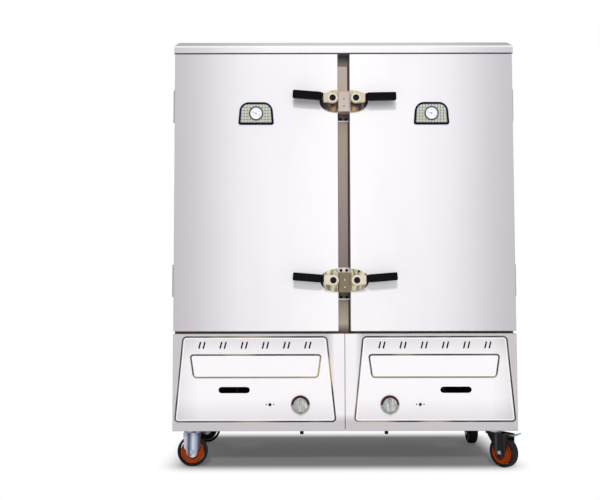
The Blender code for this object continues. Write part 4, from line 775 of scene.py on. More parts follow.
mullion = Finish("mullion_steel", MULLION_TAN, 0.34, 0.55)
mullion_x, _, mullion_z, mullion_point = mullion.place()
height_share = (mullion_z - MULLION_FOOT) / (MULLION_TOP - MULLION_FOOT)
# The painted reflection of the warm room, by height.
room_reflection = mullion.ramp(height_share, MULLION_ROOM_REFLECTION)
drawn_lines = mullion.noise(mullion.scaled(mullion_point, (700.0, 700.0, 3.0)), 1.0, 3.0)
toned = mullion.mixed(drawn_lines * 0.5, room_reflection, MULLION_DULL)
# Painted shade along the right edge.
shaded_edge = (mullion_x > MULLION_SHADE_START) * (mullion_x < MULLION_SHADE_END)
toned = mullion.mixed(shaded_edge, toned, MULLION_SHADE)
# Darker at the top, under the lid.
toned = mullion.mixed((mullion_z > MULLION_DARK_LOW) * 0.85, toned, MULLION_TOP_DARK)
mullion.ends(
    base_color=toned,
    roughness=0.26 + drawn_lines * 0.16,
    normal=mullion.bumps(drawn_lines, 0.0001, 0.3),
)
dressed(mullion.material, "front_frame")

# The gas pipe that feeds both burners is brass, dulled by handling. The ring burners and
# their stands are cast iron, with a little rust.
BRASS_COLOUR = (0.62, 0.43, 0.16)
BRASS_DULL = (0.33, 0.20, 0.07)
IRON_COLOUR = (0.055, 0.052, 0.050)
IRON_RUST = (0.120, 0.060, 0.032)

brass = Finish("pipe_brass", BRASS_COLOUR, 0.32, 1.0)
brass_point = brass.place()[3]
tarnish = brass.noise(brass_point, 16.0, 5.0, 0.6)
brass.ends(
    base_color=brass.mixed(tarnish, BRASS_DULL, BRASS_COLOUR),
    roughness=0.24 + tarnish * 0.25,
    normal=brass.bumps(brass.noise(brass_point, 240.0), 0.0002, 0.25),
)
dressed(brass.material, "gas_manifold")
iron = Finish("burner_iron", IRON_COLOUR, 0.75, 0.3)
iron_point = iron.place()[3]
pits = iron.noise(iron_point, 260.0, 4.0, 0.7)
rust = iron.noise(iron_point, 11.0, 4.0)
iron.ends(
    base_color=iron.mixed(rust * 0.7, IRON_COLOUR, IRON_RUST),
    roughness=0.62 + pits * 0.25,
    normal=iron.bumps(pits, 0.0008, 0.6),
)
dressed(iron.material, "left_burner", "right_burner")

# The two front panels of the burner bay are pressed from bright sheet with two beads, six
# pairs of vent slots and a fire slot. Their reflections and shade are painted in: dark and
# golden on the beads with painted glints beside them, and darker towards the sheet's edges,
# top and foot and outside the outer bead. The faces behind the sheet are painted near black,
# as soot and painted shade. A shade is given as where it starts, over how far it grows and
# how deep it is.
FRONT_FACE = -0.3135
PANEL_LIGHT = (0.955, 0.925, 0.955)
PANEL_GREY = (0.560, 0.525, 0.555)
PANEL_SKIRT = (0.575, 0.540, 0.565)
OUTER_BEAD = ((0.075, 0.668, 0.540), (0.039, 0.700, 0.194), 0.015)
INNER_BEAD = ((0.099, 0.637, 0.466), (0.112, 0.623, 0.374), 0.012)
BEAD_HALF = 0.0037
BEAD_GLINT_HALF = 0.0024
BEAD_GLINT_GAP = 0.0063
BEAD_DARK = (0.060, 0.050, 0.048)
BEAD_GREY = (0.190, 0.170, 0.165)
BEAD_GOLD = (0.46, 0.36, 0.21)
BEAD_GLINT = (0.99, 0.98, 0.99)
KNOB_PLACE = (0.184, 0.262)
BEZEL_RADIUS = 0.0388
MAROON = (0.050, 0.003, 0.010)
BEZEL_GREY = (0.36, 0.36, 0.35)
BEZEL_SPLIT_DROP = 0.004
MARK_SCREWS = ((0.294, 0.263), (0.324, 0.263))
MARK_SCREW_RADIUS = 0.0028
MARK_SCREW_DARK = (0.020, 0.018, 0.022)
SHEET_BACK = -0.3100
SKIRT_INNER = (0.90, 0.86, 0.90)
SKIRT_INNER_X = 0.072
SIDE_FLANGE_X = 0.7090
SKIRT_FADE = 0.030
SKIRT_FOOT_Z = 0.195
EDGE_SHADE = (0.600, 0.09, 0.38)
TOP_SHADE = (0.440, 0.14, 0.78)
FOOT_SHADE = (0.290, 0.09, 0.44)
GOLDEN_TOP_Z = 0.384
PANEL_GRAIN = (4.0, 900.0, 900.0)


def past_outline(x, z, outline):
    """How far a point lies outside a rounded trapezium, negative inside it."""
    (near_top, far_top, top), (near_foot, far_foot, foot), corner = outline
    height = top - foot
    near_run = near_foot - near_top
    far_run = far_foot - far_top
    drop = (top - z) / height
    near = (near_top + near_run * drop - x) * (height / math.hypot(height, near_run))
    far = (x - far_top - far_run * drop) * (height / math.hypot(height, far_run))
    across = near.at_least(far) + corner
    up = (z - top).at_least(foot - z) + corner
    return corner_to_corner(across.at_least(0.0), up.at_least(0.0)) - corner


panel = Finish("front_panel_steel", PANEL_LIGHT, 0.32, 0.30)
panel_x, panel_y, panel_z, panel_point = panel.place()
panel_across = abs(panel_x)
# Painted reflection and shade darken the sheet towards its edges, top and foot.
edge_tone = ((panel_across - EDGE_SHADE[0]) / EDGE_SHADE[1]).at_least(0.0) * EDGE_SHADE[2]
high_tone = ((panel_z - TOP_SHADE[0]) / TOP_SHADE[1]).at_least(0.0) * TOP_SHADE[2]
low_tone = ((FOOT_SHADE[0] - panel_z) / FOOT_SHADE[1]).clamped() * FOOT_SHADE[2]
panel_smudge = panel.noise(panel_point, 5.0, 3.0)
tone = edge_tone + high_tone + low_tone + (panel_smudge - 0.5) * 0.10
past_outer = past_outline(panel_across, panel_z, OUTER_BEAD)
past_inner = past_outline(panel_across, panel_z, INNER_BEAD)
tone = tone * (1.0 - (past_inner < 0.0) * 0.8)
sheet_colour = panel.mixed(tone.clamped(), PANEL_LIGHT, PANEL_GREY)
# Outside the outer bead the sheet is painted a darker grey, as painted reflection.
outside = ((past_outer - BEAD_HALF) * 400.0).clamped()
near_middle = ((SKIRT_INNER_X - panel_across) / SKIRT_FADE).clamped()
near_middle = near_middle * ((panel_z - SKIRT_FOOT_Z) / SKIRT_FADE).clamped()
skirt = panel.mixed(near_middle, PANEL_SKIRT, SKIRT_INNER)
sheet_colour = panel.mixed(outside, sheet_colour, skirt)
# A painted glint runs just inside each bead.
for past in (past_outer, past_inner):
    glint = abs(past + BEAD_GLINT_GAP) < BEAD_GLINT_HALF
    sheet_colour = panel.mixed(glint * 0.75, sheet_colour, BEAD_GLINT)
# The beads' gold is a painted reflection.
gold_reflection = panel.noise(panel.scaled(panel_point, (4.0, 4.0, 5.0)), 1.0, 1.0)
gold_reflection = ((gold_reflection - 0.56) * 8.0).clamped()
greyed = panel.noise(panel.scaled(panel_point, (9.0, 9.0, 9.0)), 1.0, 1.0)
bead_colour = panel.mixed(((greyed - 0.45) * 4.0).clamped(), BEAD_DARK, BEAD_GREY)
bead_colour = panel.mixed(gold_reflection, bead_colour, BEAD_GOLD)
gold_reflection_foot = (abs(past_inner) < BEAD_HALF) * (panel_z < GOLDEN_TOP_Z)
bead_colour = panel.mixed(gold_reflection_foot * 0.7, bead_colour, BEAD_GOLD)
on_bead = (abs(past_outer) < BEAD_HALF).at_least(abs(past_inner) < BEAD_HALF)
panel_colour = panel.mixed(on_bead, sheet_colour, bead_colour)
knob_gap_x, knob_gap_z = panel_across - KNOB_PLACE[0], panel_z - KNOB_PLACE[1]
on_bezel = corner_to_corner(knob_gap_x, knob_gap_z) < BEZEL_RADIUS
bezel_tone = ((knob_gap_z + BEZEL_SPLIT_DROP) * 180.0).clamped()
panel_colour = panel.mixed(on_bezel, panel_colour, panel.mixed(bezel_tone, BEZEL_GREY, MAROON))
for screw_x, screw_z in MARK_SCREWS:
    screw = corner_to_corner(panel_across - screw_x, panel_z - screw_z) < MARK_SCREW_RADIUS
    panel_colour = panel.mixed(screw, panel_colour, MARK_SCREW_DARK)
# The faces behind the sheet, seen through the vents and slot, are painted near black as soot and
# painted shade.
soot_and_shade_behind_sheet = (panel_y > SHEET_BACK) * (panel_across < SIDE_FLANGE_X)
panel_colour = panel.mixed(soot_and_shade_behind_sheet, panel_colour, SOOT_AND_SHADE)
panel_grain = panel.noise(panel.scaled(panel_point, PANEL_GRAIN), 1.0, 3.0)
panel.ends(
    base_color=panel_colour,
    roughness=0.26 + panel_grain * 0.05 + panel_smudge * 0.06,
    normal=panel.bumps(panel_grain, 0.00004, 0.12),
)
dressed(panel.material, "left_front_panel", "right_front_panel")

# Each gas knob is a chromed disc with an upright grip bar, in a bezel whose upper half is
# maroon enamel and whose lower half is bare. The ignition button beside it is black.
KNOB_COLOUR = (0.74, 0.74, 0.71)
KNOB_DARK = (0.42, 0.43, 0.41)
KNOB_RADIUS = 0.0285
KNOB_SKIRT = 0.0100
KNOB_FLOAT = 0.0015
KNOB_ROUND = 0.0022
KNOB_STEPS = 64
KNOB_REACH = 0.0380
KNOB_BAR_HALF_WIDTH = 0.0070
KNOB_BAR_HALF_LENGTH = 0.0260
KNOB_FACE_STEPS = ((0.0020, 0.0), (0.0014, -0.0014))
KNOB_BAR_TAPER = (0.72, 1.0, 0.86)
KNOB_BAR_ROUND = 0.0028
FLAT = 0.99
BUTTON_COLOUR = (0.006, 0.006, 0.007)
BUTTON_WORN = (0.022, 0.021, 0.022)


def flat_front(face):
    """A test for faces that look straight to the front."""
    return face.normal.y < -FLAT


chrome = Finish("knob_chrome", KNOB_COLOUR, 0.16, 0.9)
# The chrome's dark and light waves are painted reflections.
chrome_reflection_waves = chrome.noise(chrome.scaled(chrome.place()[3], (95.0, 60.0, 28.0)), 1.0, 2.0)
chrome.ends(
    base_color=chrome.mixed(((chrome_reflection_waves - 0.42) * 5.0).clamped(), KNOB_DARK, KNOB_COLOUR),
    roughness=0.16 + chrome_reflection_waves * 0.10,
    normal=chrome.bumps(chrome_reflection_waves, 0.0006, 0.4),
)
knob = cylinder_along_y("gas_knob", KNOB_RADIUS, KNOB_SKIRT / 2, KNOB_STEPS)
all_moved(0, -KNOB_FLOAT - KNOB_SKIRT / 2, 0)
pick_faces(knob, front_face)
bpy.ops.mesh.region_to_loop()
bpy.ops.mesh.bevel(offset=KNOB_ROUND, segments=4, affect="EDGES")
pick_faces(knob, flat_front)
stepped(*KNOB_FACE_STEPS)
shaded(knob)
bar_front = -KNOB_REACH
bar_back = -KNOB_FLOAT - KNOB_SKIRT / 2
bar_size = (2 * KNOB_BAR_HALF_WIDTH, bar_back - bar_front, 2 * KNOB_BAR_HALF_LENGTH)
grip_bar = block("knob_grip_bar", bar_size, (0, (bar_front + bar_back) / 2, 0))
bpy.ops.object.mode_set(mode="EDIT")
pick_faces(grip_bar, front_face)
bpy.ops.transform.resize(value=KNOB_BAR_TAPER, center_override=(0, bar_front, 0))
bpy.ops.mesh.select_all(action="SELECT")
bpy.ops.mesh.bevel(offset=KNOB_BAR_ROUND, segments=4, affect="EDGES")
shaded(grip_bar)
nothing_selected()
knob.select_set(True)
grip_bar.select_set(True)
bpy.context.view_layer.objects.active = knob
bpy.ops.object.join()
for side_name, side in SIDES.items():
    at = Matrix.Translation((side * KNOB_PLACE[0], FRONT_FACE, KNOB_PLACE[1]))
    turned_knob = coat(copied(knob, f"{side_name}_knob_cap", at), chrome.material)
    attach(turned_knob, f"{side_name}_knob")
    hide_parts(f"{side_name}_gas_knob")
bpy.data.objects.remove(knob)
bakelite = Finish("button_bakelite", BUTTON_COLOUR, 0.35, specular=BLACK_SHEEN)
wear = bakelite.noise(bakelite.place()[3], 200.0)
bakelite.ends(
    base_color=bakelite.mixed(wear, BUTTON_COLOUR, BUTTON_WORN),
    roughness=0.28 + wear * 0.2,
)
dressed(bakelite.material, "left_igniter_button", "right_igniter_button")

# Ladders of folded runners hang on both sides of each chamber, dulled by steam. One tray of
# bright pressed sheet rests on each pair.
TRAY_COLOUR = (0.78, 0.77, 0.78)
TRAY_DARK = (0.58, 0.57, 0.58)

rack_steel = brushed_steel("rack_steel", LINING_COLOUR, LINING_DARK, "Y", 0.34)
dressed(rack_steel.material, "left_runner_rack", "right_runner_rack")
tray_steel = brushed_steel("tray_steel", TRAY_COLOUR, TRAY_DARK, "X", 0.25)
dressed(tray_steel.material, "left_tray", "right_tray")

# The lid is folded sheet over an insulated ceiling. Its rim slopes back from a front edge with a
# painted highlight, and the room that it mirrors is painted in, darker towards its ends. The slope
# and the under-edge are painted darker than the band between them, the slope as painted reflection
# and the under-edge as painted shade.
LID_REFLECTION_GRADE = [
    (0.0, (0.95, 0.93, 0.94)),
    (0.45, (0.93, 0.91, 0.93)),
    (0.66, (0.80, 0.77, 0.80)),
    (0.82, (0.66, 0.64, 0.67)),
    (1.0, (0.58, 0.55, 0.59)),
]
LID_HALF_SPAN = 0.71
LID_SLOPE_SHARE = 0.55
LID_EDGE_HIGHLIGHT = (0.97, 0.96, 0.97)
LID_DARK_REFLECTION_AND_SHADE = (0.16, 0.15, 0.19)
LID_TOP_Z = 1.7796
LID_FRONT_Y = -0.312
LID_BACK_Y = 0.300
SLOPE_FOOT_Z = 1.7605
EDGE_BRIGHT_Z = 1.7530
UNDER_EDGE_Z = 1.7305

lid = Finish("lid_steel", LID_REFLECTION_GRADE[0][1], 0.30, 0.35)
lid_x, lid_y, lid_z, lid_point = lid.place()
lid_grain = lid.noise(lid.scaled(lid_point, PANEL_GRAIN), 1.0, 3.0)
lid_smudge = lid.noise(lid_point, 4.0, 3.0)
on_slope = (lid_z > SLOPE_FOOT_Z) * (lid_z < LID_TOP_Z)
# A painted reflection, darker towards the ends.
lid_reflection = lid.ramp(abs(lid_x) / LID_HALF_SPAN, LID_REFLECTION_GRADE)
lid_colour = lid.mixed(lid_smudge * 0.12 + lid_grain * 0.10, lid_reflection, STEEL_DARK)
# A painted highlight on the front edge.
edge_highlight = (lid_z > EDGE_BRIGHT_Z) * (1.0 - on_slope) * (lid_y < LID_FRONT_Y)
lid_colour = lid.mixed(edge_highlight * 0.6, lid_colour, LID_EDGE_HIGHLIGHT)
# Painted shade under the edge.
lid_colour = lid.mixed((lid_z < UNDER_EDGE_Z) * (lid_y < LID_BACK_Y), lid_colour, LID_DARK_REFLECTION_AND_SHADE)
# The slope is painted darker, as painted reflection.
lid.ends(
    base_color=lid.mixed(on_slope * (1.0 - LID_SLOPE_SHARE), lid_colour, LID_DARK_REFLECTION_AND_SHADE),
    roughness=0.27 + lid_grain * 0.05 + lid_smudge * 0.05,
    normal=lid.bumps(lid_grain, 0.00005, 0.12),
)
dressed(lid.material, "top_cover")

# The doors are bright steel skins folded over insulation. The white room that they mirror is
# painted in, from white in the middle of the cabinet to grey at the hinged edges. Silicone
# seals them, and each hangs on two steel leaf hinges.
DOOR_GRADE = [
    (0.0, (0.955, 0.935, 0.950)),
    (0.25, (0.915, 0.893, 0.925)),
    (0.42, (0.885, 0.863, 0.898)),
    (0.62, (0.815, 0.790, 0.825)),
    (0.74, (0.720, 0.697, 0.732)),
    (0.86, (0.605, 0.580, 0.615)),
    (0.93, (0.555, 0.530, 0.565)),
    (1.0, (0.520, 0.498, 0.525)),
]
DOOR_HALF_SPAN = 0.71
DOOR_SMUDGE = (0.56, 0.54, 0.57)
DOOR_GRAIN = (900.0, 900.0, 4.0)
SEAL_COLOUR = (0.52, 0.50, 0.47)
SEAL_DARK = (0.44, 0.42, 0.39)
SEAL_PALE = (0.60, 0.58, 0.55)
HINGE_COLOUR = (0.50, 0.49, 0.48)
HINGE_DARK = (0.30, 0.29, 0.28)

door = Finish("door_steel", DOOR_GRADE[0][1], 0.32, 0.30)
door_x, _, _, door_point = door.place()
grade = door.ramp(abs(door_x) / DOOR_HALF_SPAN, DOOR_GRADE)
door_grain = door.noise(door.scaled(door_point, DOOR_GRAIN), 1.0, 3.0)
door_smudge = door.noise(door.scaled(door_point, (3.0, 3.0, 1.2)), 1.0, 3.0)
door.ends(
    base_color=door.mixed((door_smudge - 0.45).at_least(0.0) * 0.5, grade, DOOR_SMUDGE),
    roughness=0.26 + door_grain * 0.05 + door_smudge * 0.05,
    normal=door.bumps(door_grain, 0.00004, 0.12),
)
dressed(door.material, "left_door_panel", "right_door_panel")
silicone = Finish("seal_silicone", SEAL_COLOUR, 0.65)
silicone_point = silicone.place()[3]
bloom = silicone.noise(silicone_point, 18.0, 3.0)
silicone.ends(
    base_color=silicone.mixed(bloom, SEAL_DARK, SEAL_PALE),
    roughness=0.55 + bloom * 0.25,
    normal=silicone.bumps(silicone.noise(silicone_point, 420.0), 0.0003, 0.4),
)
dressed(silicone.material, "left_door_gasket", "right_door_gasket")
hinge_steel = brushed_steel("hinge_steel", HINGE_COLOUR, HINGE_DARK, "Z", 0.38)
for side_name in SIDES:
    for level in ("upper", "lower"):
        hinge = f"{side_name}_{level}_hinge"
        dressed(hinge_steel.material, f"{hinge}_cabinet_leaf", f"{hinge}_door_leaf")

# A badge with a dial thermometer is stuck on each door: a plate printed with a plain check
# in a navy border, and in its middle a bezel ring round a face with numbers and a needle.
BADGE_FOOT_HALF = 0.0750
BADGE_TOP_HALF = 0.0670
BADGE_HALF_HEIGHT = 0.0475
BADGE_THICKNESS = 0.0030
BADGE_TOP_CORNER = 0.0360
BADGE_FOOT_CORNER = 0.0100
BADGE_BORDER = 0.0090
BADGE_LIP = 0.0008
BADGE_LIP_RISE = 0.0004
BADGE_X = 0.3675
BADGE_Z = 1.4725
SKIN_GAP = 0.0003
DIAL_RADIUS = 0.0300
DIAL_RIM = 0.0060
DIAL_REACH = 0.0070
DIAL_RECESS = 0.0020
DIAL_STEPS = 64
BEZEL_BED = 0.0005
RIM_ROUND = 0.0012
TICK_COUNT = 21
TICK_SWEEP_DEGREES = 250.0
TICK_RADIUS = 0.0208
TICK_SIZE = (0.0007, 0.0004, 0.0026)
NUMBERS = ("0", "25", "50", "75", "100")
NUMBER_RADIUS = 0.0152
NUMBER_SIZE = 0.0050
NUMBER_LIFT = 0.0001
TICK_LIFT = 0.0002
TICK_ROUND = 0.00008
NEEDLE_LENGTH = 0.0165
NEEDLE_DEGREES = 78.0
NEEDLE_HUB_RADIUS = 0.0026
NEEDLE_HALF_THICKNESS = 0.0006
NEEDLE_HUB_STEP = (0.0008, 0.0003)
NEEDLE_TAPER = (0.2, 0.5, 1.0)
NEEDLE_LIFT = 0.0010
NAVY = (0.007, 0.004, 0.038)
PRINT_WHITE = (0.90, 0.89, 0.93)
PRINT_GREY = (0.80, 0.79, 0.87)
PRINT_GREEN = (0.085, 0.230, 0.030)
PRINT_RED = (0.340, 0.060, 0.040)
DIAL_SLATE = (0.045, 0.055, 0.105)
DIAL_WHITE = (0.95, 0.96, 0.97)
DIAL_HAZE = (0.80, 0.84, 0.90)
INK_GREY = (0.10, 0.10, 0.13)
INK_WORN = (0.16, 0.15, 0.17)
NEEDLE_RED = (0.36, 0.05, 0.04)
NEEDLE_WORN = (0.50, 0.09, 0.06)
CHECK_PERIOD = 0.0125
CHECK_LINE_HALF = 0.055


def trapezium_half_width(height):
    """Half the badge's width at a height above its middle."""
    share = (height + BADGE_HALF_HEIGHT) / (2 * BADGE_HALF_HEIGHT)
    return BADGE_FOOT_HALF + (BADGE_TOP_HALF - BADGE_FOOT_HALF) * share


nothing_selected()
bpy.ops.mesh.primitive_plane_add(size=2 * BADGE_HALF_HEIGHT, rotation=(math.pi / 2, 0, 0))
badge = bpy.context.object
badge.name = "badge"
bpy.ops.object.transform_apply(location=False, rotation=True, scale=False)
for corner in badge.data.vertices:
    corner.co.x = math.copysign(trapezium_half_width(corner.co.z), corner.co.x)
bpy.ops.object.mode_set(mode="EDIT")
bpy.ops.mesh.select_all(action="SELECT")
bpy.ops.mesh.select_mode(type="VERT")
for top_side, corner_size in ((1, BADGE_TOP_CORNER), (-1, BADGE_FOOT_CORNER)):
    bpy.ops.mesh.select_all(action="DESELECT")
    badge_mesh = bmesh.from_edit_mesh(badge.data)
    for vertex in badge_mesh.verts:
        vertex.select_set(vertex.co.z * top_side > BADGE_HALF_HEIGHT * 0.999)
    bmesh.update_edit_mesh(badge.data)
    bpy.ops.mesh.bevel(offset=corner_size, segments=10, affect="VERTICES")
bpy.ops.mesh.select_all(action="SELECT")
bpy.ops.mesh.extrude_region_move(TRANSFORM_OT_translate={"value": (0, -BADGE_THICKNESS, 0)})
pick_faces(badge, lambda face: face.calc_center_median().y < -BADGE_THICKNESS * 0.9)
stepped((BADGE_LIP, 0.0))
bpy.ops.transform.translate(value=(0, -BADGE_LIP_RISE, 0))
all_moved(0, -SKIN_GAP, 0)
bpy.ops.mesh.normals_make_consistent(inside=False)
shaded(badge)

bezel_half = (DIAL_REACH - BADGE_THICKNESS) / 2 + BEZEL_BED
bezel = cylinder_along_y("bezel", DIAL_RADIUS, bezel_half, DIAL_STEPS)
all_moved(0, bezel_half - DIAL_REACH, 0)
pick_faces(bezel, front_face)
bpy.ops.mesh.region_to_loop()
bpy.ops.mesh.bevel(offset=RIM_ROUND, segments=4, affect="EDGES")
pick_faces(bezel, flat_front)
stepped((DIAL_RIM - 2 * RIM_ROUND, 0.0), (RIM_ROUND, -DIAL_RECESS))
shaded(bezel)

dial_y = DIAL_RECESS - DIAL_REACH
needle = cylinder_along_y("needle", NEEDLE_HUB_RADIUS, NEEDLE_HALF_THICKNESS, 24)
pick_faces(needle, front_face)
stepped(NEEDLE_HUB_STEP)
pick_faces(needle, lambda face: face.normal.z > 0.95)
bpy.ops.mesh.extrude_region_move(TRANSFORM_OT_translate={"value": (0, 0, NEEDLE_LENGTH)})
bpy.ops.transform.resize(value=NEEDLE_TAPER, center_override=(0, 0, NEEDLE_LENGTH))
bpy.ops.mesh.select_all(action="SELECT")
bpy.ops.transform.rotate(
    value=math.radians(NEEDLE_DEGREES), orient_axis="Y", center_override=(0, 0, 0)
)
all_moved(0, dial_y - NEEDLE_LIFT, 0)
shaded(needle)

dial_marks = []
for step in range(TICK_COUNT):
    nothing_selected()
    angle = math.radians(TICK_SWEEP_DEGREES * (step / (TICK_COUNT - 1) - 0.5))
    spot = (TICK_RADIUS * math.sin(angle), dial_y - TICK_LIFT, TICK_RADIUS * math.cos(angle))
    bpy.ops.mesh.primitive_cube_add(size=1.0, location=spot, rotation=(0, angle, 0))
    tick = bpy.context.object
    tick.scale = TICK_SIZE
    bpy.ops.object.transform_apply(location=True, rotation=True, scale=True)
    bpy.ops.object.mode_set(mode="EDIT")
    bpy.ops.mesh.bevel(offset=TICK_ROUND, segments=1, affect="EDGES")
    bpy.ops.object.mode_set(mode="OBJECT")
    dial_marks.append(tick)
for step, number in enumerate(NUMBERS):
    nothing_selected()
    angle = math.radians(TICK_SWEEP_DEGREES * (step / (len(NUMBERS) - 1) - 0.5))
    spot = (NUMBER_RADIUS * math.sin(angle), dial_y - NUMBER_LIFT, NUMBER_RADIUS * math.cos(angle))
    bpy.ops.object.text_add(location=spot, rotation=(math.pi / 2, 0, 0))
    text = bpy.context.object
    text.data.body = number
    text.data.size = NUMBER_SIZE
    text.data.extrude = NUMBER_LIFT
    text.data.align_x = "CENTER"
    text.data.align_y = "CENTER"
    text.data.resolution_u = 3
    bpy.ops.object.convert(target="MESH")
    bpy.ops.object.transform_apply(location=True, rotation=True, scale=True)
    dial_marks.append(bpy.context.object)
nothing_selected()
for mark in dial_marks:
    mark.select_set(True)
bpy.context.view_layer.objects.active = dial_marks[0]
bpy.ops.object.join()
dial_print = bpy.context.object
dial_print.name = "dial_print"

ink = Finish("badge_print", PRINT_WHITE, 0.34, specular=BLACK_SHEEN)
ink_x, _, ink_z, ink_point = ink.place()
side_of = (ink_x > 0.0) * 2.0 - 1.0
badge_u = ink_x - side_of * BADGE_X
badge_w = ink_z - BADGE_Z
badge_top = (-BADGE_TOP_HALF, BADGE_TOP_HALF, BADGE_HALF_HEIGHT)
badge_foot = (-BADGE_FOOT_HALF, BADGE_FOOT_HALF, -BADGE_HALF_HEIGHT)
past_top = past_outline(abs(badge_u), badge_w, (badge_top, badge_foot, BADGE_TOP_CORNER))
past_foot = past_outline(abs(badge_u), badge_w, (badge_top, badge_foot, BADGE_FOOT_CORNER))
in_border = ((past_top > -BADGE_BORDER) * (badge_w > 0.0)).at_least(past_foot > -BADGE_BORDER)
print_grain = ink.noise(ink_point, 85.0, 3.0, 0.6)
print_colour = ink.mixed(print_grain, PRINT_GREY, PRINT_WHITE)
across, upward = [
    ink.node("ShaderNodeMath", {"operation": "FRACT"}, {0: way / CHECK_PERIOD + 0.25})
    for way in (badge_u, badge_w)
]
print_colour = ink.mixed(((across < 0.5) + (upward < 0.5)) * 0.45, print_colour, PRINT_GREEN)
thin_line = (abs(across - 0.75) < CHECK_LINE_HALF).at_least(abs(upward - 0.75) < CHECK_LINE_HALF)
print_colour = ink.mixed(thin_line * 0.8, print_colour, PRINT_RED)
ink.ends(
    base_color=ink.mixed(in_border, print_colour, NAVY),
    roughness=0.26 + print_grain * 0.10,
    normal=ink.bumps(print_grain, 0.00005, 0.2),
)
dial_paint = Finish("dial_enamel", DIAL_SLATE, 0.3)
dial_x, _, dial_z, dial_point = dial_paint.place()
dial_u = dial_x - ((dial_x > 0.0) * 2.0 - 1.0) * BADGE_X
dial_w = dial_z - BADGE_Z
from_middle = dial_u * dial_u + dial_w * dial_w
on_face = from_middle < (DIAL_RADIUS - DIAL_RIM) ** 2
haze = dial_paint.noise(dial_point, 60.0, 3.0)
hazed = dial_paint.mixed(haze, DIAL_HAZE, DIAL_WHITE)
dial_paint.ends(
    base_color=dial_paint.mixed(on_face, DIAL_SLATE, hazed),
    roughness=0.22 + haze * 0.15,
)
dial_ink = Finish("dial_ink", INK_GREY, 0.5)
dial_ink_point = dial_ink.place()[3]
ink_wear = dial_ink.noise(dial_ink_point, 500.0)
dial_ink.ends(base_color=dial_ink.mixed(ink_wear, INK_GREY, INK_WORN))
needle_paint = Finish("needle_paint", NEEDLE_RED, 0.4)
needle_point = needle_paint.place()[3]
needle_wear = needle_paint.noise(needle_point, 400.0)
needle_paint.ends(base_color=needle_paint.mixed(needle_wear, NEEDLE_RED, NEEDLE_WORN))

for side_name, side in SIDES.items():
    spot = Matrix.Translation((side * BADGE_X, FRONT_FACE, BADGE_Z))
    pieces = {
        "badge": (badge, ink.material),
        "dial_bezel": (bezel, dial_paint.material),
        "dial_print": (dial_print, dial_ink.material),
        "dial_needle": (needle, needle_paint.material),
    }
    for piece_name, (piece, piece_material) in pieces.items():
        placed = coat(copied(piece, f"{side_name}_{piece_name}", spot), piece_material)
        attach(placed, f"{side_name}_door")
        if piece_name == "badge":
            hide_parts(f"{side_name}_thermometer")
for piece in (badge, bezel, dial_print, needle):
    bpy.data.objects.remove(piece)

# The latch housings are half-oval castings screwed to the doors, gilt zinc streaked with painted
# reflection. Each has a thin foot flange and a sloped skirt up to the flat that the lever turns on.
HOUSING_WIDTH = 0.073
HOUSING_HALF_HEIGHT = 0.049
HOUSING_FLAT_U = -0.020
HOUSING_STEPS = 72
HOUSING_PROFILE = (
    (0.0022, 1.000),
    (0.0030, 0.972),
    (0.0034, 0.925),
    (0.0090, 0.892),
    (0.0160, 0.812),
    (0.0225, 0.732),
    (0.0262, 0.690),
    (0.0280, 0.655),
)
LATCH_X = 0.0485
LATCH_HEIGHTS = {"upper": 1.5277, "lower": 0.7730}
HOUSING_DROPS = {"upper": 0.0045, "lower": 0.0}
GILT_STOPS = [
    (0.0, (0.150, 0.120, 0.070)),
    (0.3, (0.420, 0.360, 0.235)),
    (0.7, (0.620, 0.560, 0.410)),
    (1.0, (0.830, 0.790, 0.640)),
]
CREAM_STOPS = [
    (0.0, (0.480, 0.390, 0.280)),
    (0.5, (0.640, 0.545, 0.410)),
    (1.0, (0.800, 0.740, 0.590)),
]
UNDER_LEVER_SHADE_STOPS = [
    (0.0, (0.012, 0.010, 0.014)),
    (0.5, (0.060, 0.045, 0.045)),
    (0.8, (0.240, 0.180, 0.130)),
    (1.0, (0.500, 0.420, 0.300)),
]
TAN_HIGHLIGHT = (0.660, 0.400, 0.200)
TAN_HIGHLIGHT_SPOT = (-0.0030, -0.0400)
TAN_HIGHLIGHT_RADIUS = 0.0150
LEVER_SHADE_W = 0.0010
RIM_HIGHLIGHT = (0.760, 0.680, 0.470)
RIM_START = 0.90
BAND_BLACK = (0.004, 0.004, 0.005)
HOUSING_SCREW_PLACE = (0.0100, 0.0370)
HOUSING_SCREW_RADIUS = 0.0052
HOUSING_SCREW_HALF = 0.0030
HOUSING_SCREW_REACH = 0.0128
HOUSING_SCREW_STEPS = ((0.0010, 0.0008), (0.0012, 0.0), (0.0003, -0.0012))
HOUSING_LIP = 0.0012
RIM_END_U = 0.030
BAND_START_U = 0.010
BAND_TOP_W = 0.030
BOLT_BLACK = (0.010, 0.009, 0.011)
BOLT_DARK = (0.006, 0.006, 0.008)
BOLT_WORN = (0.030, 0.024, 0.022)

nothing_selected()
bpy.ops.mesh.primitive_circle_add(
    vertices=HOUSING_STEPS, radius=1.0, fill_type="NGON", rotation=(math.pi / 2, 0, 0)
)
housing = bpy.context.object
housing.name = "latch_housing"
housing.scale = (HOUSING_WIDTH, HOUSING_HALF_HEIGHT, 1.0)
bpy.ops.object.transform_apply(location=False, rotation=True, scale=True)
bpy.ops.object.mode_set(mode="EDIT")
bpy.ops.mesh.select_all(action="SELECT")
bpy.ops.mesh.bisect(plane_co=(0, 0, 0), plane_no=(1, 0, 0), clear_inner=True)
bpy.ops.mesh.select_all(action="SELECT")
depth_so_far, share_so_far = 0.0, 1.0
for depth, share in HOUSING_PROFILE:
    step = depth - depth_so_far
    bpy.ops.mesh.extrude_region_move(TRANSFORM_OT_translate={"value": (0, -step, 0)})
    grow = share / share_so_far
    bpy.ops.transform.resize(value=(grow, 1, grow), center_override=(0, -depth, 0))
    depth_so_far, share_so_far = depth, share
stepped((HOUSING_LIP, 0.0))
